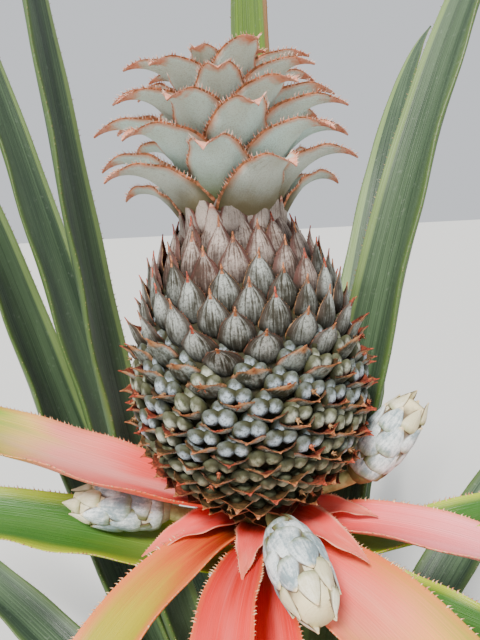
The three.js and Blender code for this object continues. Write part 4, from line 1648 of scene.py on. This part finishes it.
@dataclass
class Slips(Spiny):
    """Scaly buds on short stalks under the fruit."""

    scale_count: int = 22
    stalk_radius: float = 5.0
    grid: tuple[int, int] = (14, 18)
    tip_from: float = 0.92
    cream_from: float = 0.65
    root_depths: tuple[float, float] = (1.2, 0.6)
    body_share: float = 0.95
    body_depth: float = 1.0
    body_least: float = 0.5
    thorns: Thorns = Thorns(0.9, 1.6, 0.2, 0.92, 0.9, 0.3)
    places: tuple[SlipPlace, ...] = (
        SlipPlace(180, 407, 60, 416, 12),
        SlipPlace(281, 422, 46, 428, 0),
        SlipPlace(358, 422.5, 61, 428, 50),
        SlipPlace(118, 421, 48, 428, 16),
    )

    def radius_at(self, share: float) -> float:
        """Radius of a slip's body at a share of its length."""
        reach = 0.5 if share < SLIP_WIDEST else 0.6
        return SLIP_RADIUS * math.sqrt(max(1 - ((share - SLIP_WIDEST) / reach) ** 2, 0))

    def body_radius(self, height: float) -> float:
        """Radius of the body behind the scales at a height above the slip's foot."""
        return max(self.radius_at(height / SLIP_LENGTH) - self.body_depth, self.body_least)

    def scale(self, index: int) -> Blade:
        """The rule of one scale on a slip that points up.

        Args:
            index: Its number from the foot.

        Returns:
            The blade, rooted in the slip's body.
        """
        share = index / (self.scale_count - 1)
        along = mix(0.06, 0.86, share)
        late = past(share, 0.6, 0.4)
        form = {"channel": (60.0, 44.0), "thickness": 1.5, "foot": 0.95, "growth": 0.35, "crease": 0.3}
        return Blade(
            azimuth=GOLDEN_ANGLE * index + 100,
            seat=along * SLIP_LENGTH,
            radius=self.radius_at(along) - mix(*self.root_depths, share),
            length=mix(27, 14, share),
            width=mix(32, 14, share),
            leans=(mix(26, -8, share), mix(2, -13, share) - 18 * late, mix(-12, 0, share) - 14 * late),
            taper=mix(2.6, 1.5, share),
            **form,
        )

    def tilt(self, where: SlipPlace) -> np.ndarray:
        """Matrix from a slip that points up to its place on the plant."""
        out = Matrix.Translation((where.start, 0, where.height))
        lean = rotation(90 - where.elevation, "Y")
        return head_place() @ np.array(rotation(where.azimuth, "Z") @ out @ lean)

    def stalk(self, where: SlipPlace, shape: Template) -> np.ndarray:
        """Corners of a slip's bent stalk.

        Args:
            where: The slip's place.
            shape: A spindle.

        Returns:
            The corners in the plant's millimetres.
        """
        lean = math.radians(where.elevation)
        first = np.array([stalk_radius(where.seat + self.stalk_radius) + 2 * GAP, 0, where.seat])
        middle = np.array([(first[0] + where.start) / 2 + 4, 0, where.seat])
        last = np.array([where.start + 6, 0, where.height + 6 * math.sin(lean)])
        share = shape.corners[:, 2:3]
        line = first * (1 - share) ** 2 + middle * 2 * share * (1 - share) + last * share**2
        ahead = (middle - first) * (1 - share) + (last - middle) * share
        ahead /= np.linalg.norm(ahead, axis=1)[:, None]
        up = np.column_stack([-ahead[:, 2], np.zeros(len(ahead)), ahead[:, 0]])
        across = np.array([0.0, 1.0, 0.0])
        corners = line + self.stalk_radius * (shape.corners[:, :1] * up + shape.corners[:, 1:2] * across)
        return moved(corners, head_place() @ np.array(rotation(where.azimuth, "Z")))

    def finishes(self) -> list[bpy.types.Material]:
        """Materials of the slips in the order of their finish numbers."""
        colors = {"fleck": (96, 108, 112), "rim": (84, 62, 34), "low_rim": (104, 106, 50)}
        colors.update(foot=(126, 140, 66), end=(236, 222, 176))
        habit = {"cover": 0.45, "flecks": 0.3, "fibre": 16, "grain": 560, "rim_from": 0.34, "rim_to": 0.45}
        habit.update(foot_share=0.5, foot_height=0.25, end_from=0.84)
        scurf = ScurfFinish((240, 248, 248), (138, 158, 164), **colors, **habit)
        cream = replace(scurf, scurf=(240, 234, 210), skin=(214, 206, 168), fleck=(196, 180, 140))
        return dressed({
            "Slip scurf": scurf,
            "Slip margin": DryFinish((120, 84, 52), (60, 36, 24)),
            "Slip tip": DryFinish((240, 222, 184), (216, 184, 138), 200),
            "Slip thorn": DryFinish((112, 78, 62), (74, 48, 40)),
            "Slip cream": cream,
            "Slip stalk": DryFinish((196, 196, 128), (160, 150, 88), 160),
        })

    def build(self) -> None:
        """Makes the slips."""
        shape = slab(*self.grid)
        tube = spindle(16, 12)
        body = (0.0, self.body_share * SLIP_LENGTH)
        materials = self.finishes()
        for number, where in enumerate(self.places, start=1):
            sheaf = Sheaf(self.tilt(where))
            for index in range(self.scale_count):
                late = index > self.cream_from * self.scale_count
                zones = (SlipTone.CREAM if late else SlipTone.SCURF, *tuple(SlipTone)[1:5])
                self.lay(sheaf, self.scale(index), shape, zones, self.thorns, self.tip_from)
            sheaf.add_limb(tube, self.body_radius, body, finish=SlipTone.CREAM)
            sheaf.add(self.stalk(where, tube), tube.faces, tube.skin, [SlipTone.STALK] * len(tube.faces))
            attach(sheaf.write(f"slip_scaly_{number}", materials), "slip_scurf", f"slip_{number}")


@dataclass
class Studio:
    """Plain pale floor and backdrop, soft light, and the camera right in front of the fruit."""

    position: tuple[float, float, float] = (-0.018, -0.285, 0.596)
    pitch: float = 11.5
    roll: float = 3.0
    lens: float = 27.0
    floor_size: float = 60.0

    def camera(self) -> None:
        """Adds the camera."""
        data = bpy.data.cameras.new("Camera")
        data.lens = self.lens
        data.sensor_width = 36.0
        data.clip_start = 0.01
        camera = bpy.data.objects.new("Camera", data)
        bpy.context.scene.collection.objects.link(camera)
        bpy.context.scene.camera = camera
        pitch, roll = math.radians(self.pitch), math.radians(self.roll)
        ahead = Vector((0, math.cos(pitch), -math.sin(pitch)))
        right = Vector((1, 0, 0))
        up = right.cross(ahead)
        leaned_right = right * math.cos(roll) - up * math.sin(roll)
        leaned_up = up * math.cos(roll) + right * math.sin(roll)
        turn = Matrix((leaned_right, leaned_up, -ahead)).transposed()
        camera.matrix_world = Matrix.Translation(self.position) @ turn.to_4x4()

    def floor(self) -> None:
        """Adds the floor."""
        bpy.ops.mesh.primitive_plane_add(size=self.floor_size, location=(0, 0, -0.002))
        floor = bpy.context.object
        floor.name = "studio_floor"
        board = Board("Studio floor")
        board.shader.inputs["Base Color"].default_value = (0.62, 0.62, 0.6, 1)
        board.shader.inputs["Roughness"].default_value = 0.9
        floor.data.materials.append(board.material)

    def light(self) -> None:
        """Adds the sky and one soft sun."""
        world = bpy.data.worlds.new("Sky")
        world.use_nodes = True
        sky = world.node_tree.nodes["Background"]
        sky.inputs["Color"].default_value = (0.92, 0.95, 1.0, 1)
        sky.inputs["Strength"].default_value = 0.85
        bpy.context.scene.world = world
        data = bpy.data.lights.new("Sun", "SUN")
        data.energy = 6.4
        data.angle = math.radians(12)
        data.color = (1.0, 0.97, 0.92)
        sun = bpy.data.objects.new("Sun", data)
        sun.rotation_euler = (math.radians(36), math.radians(-16), 0)
        bpy.context.scene.collection.objects.link(sun)


def main() -> None:
    """Builds the studio and the plant, in order."""
    logging.basicConfig(level=logging.INFO, format="%(message)s")
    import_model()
    rng = np.random.default_rng(SEED)
    studio = Studio()
    studio.camera()
    studio.floor()
    studio.light()
    prickle = thorn()
    Stem().build()
    for part in (Rosette, Bracts, Fruit, Crown, Slips):
        part(prickle, rng).build()


if __name__ == "__main__":
    main()
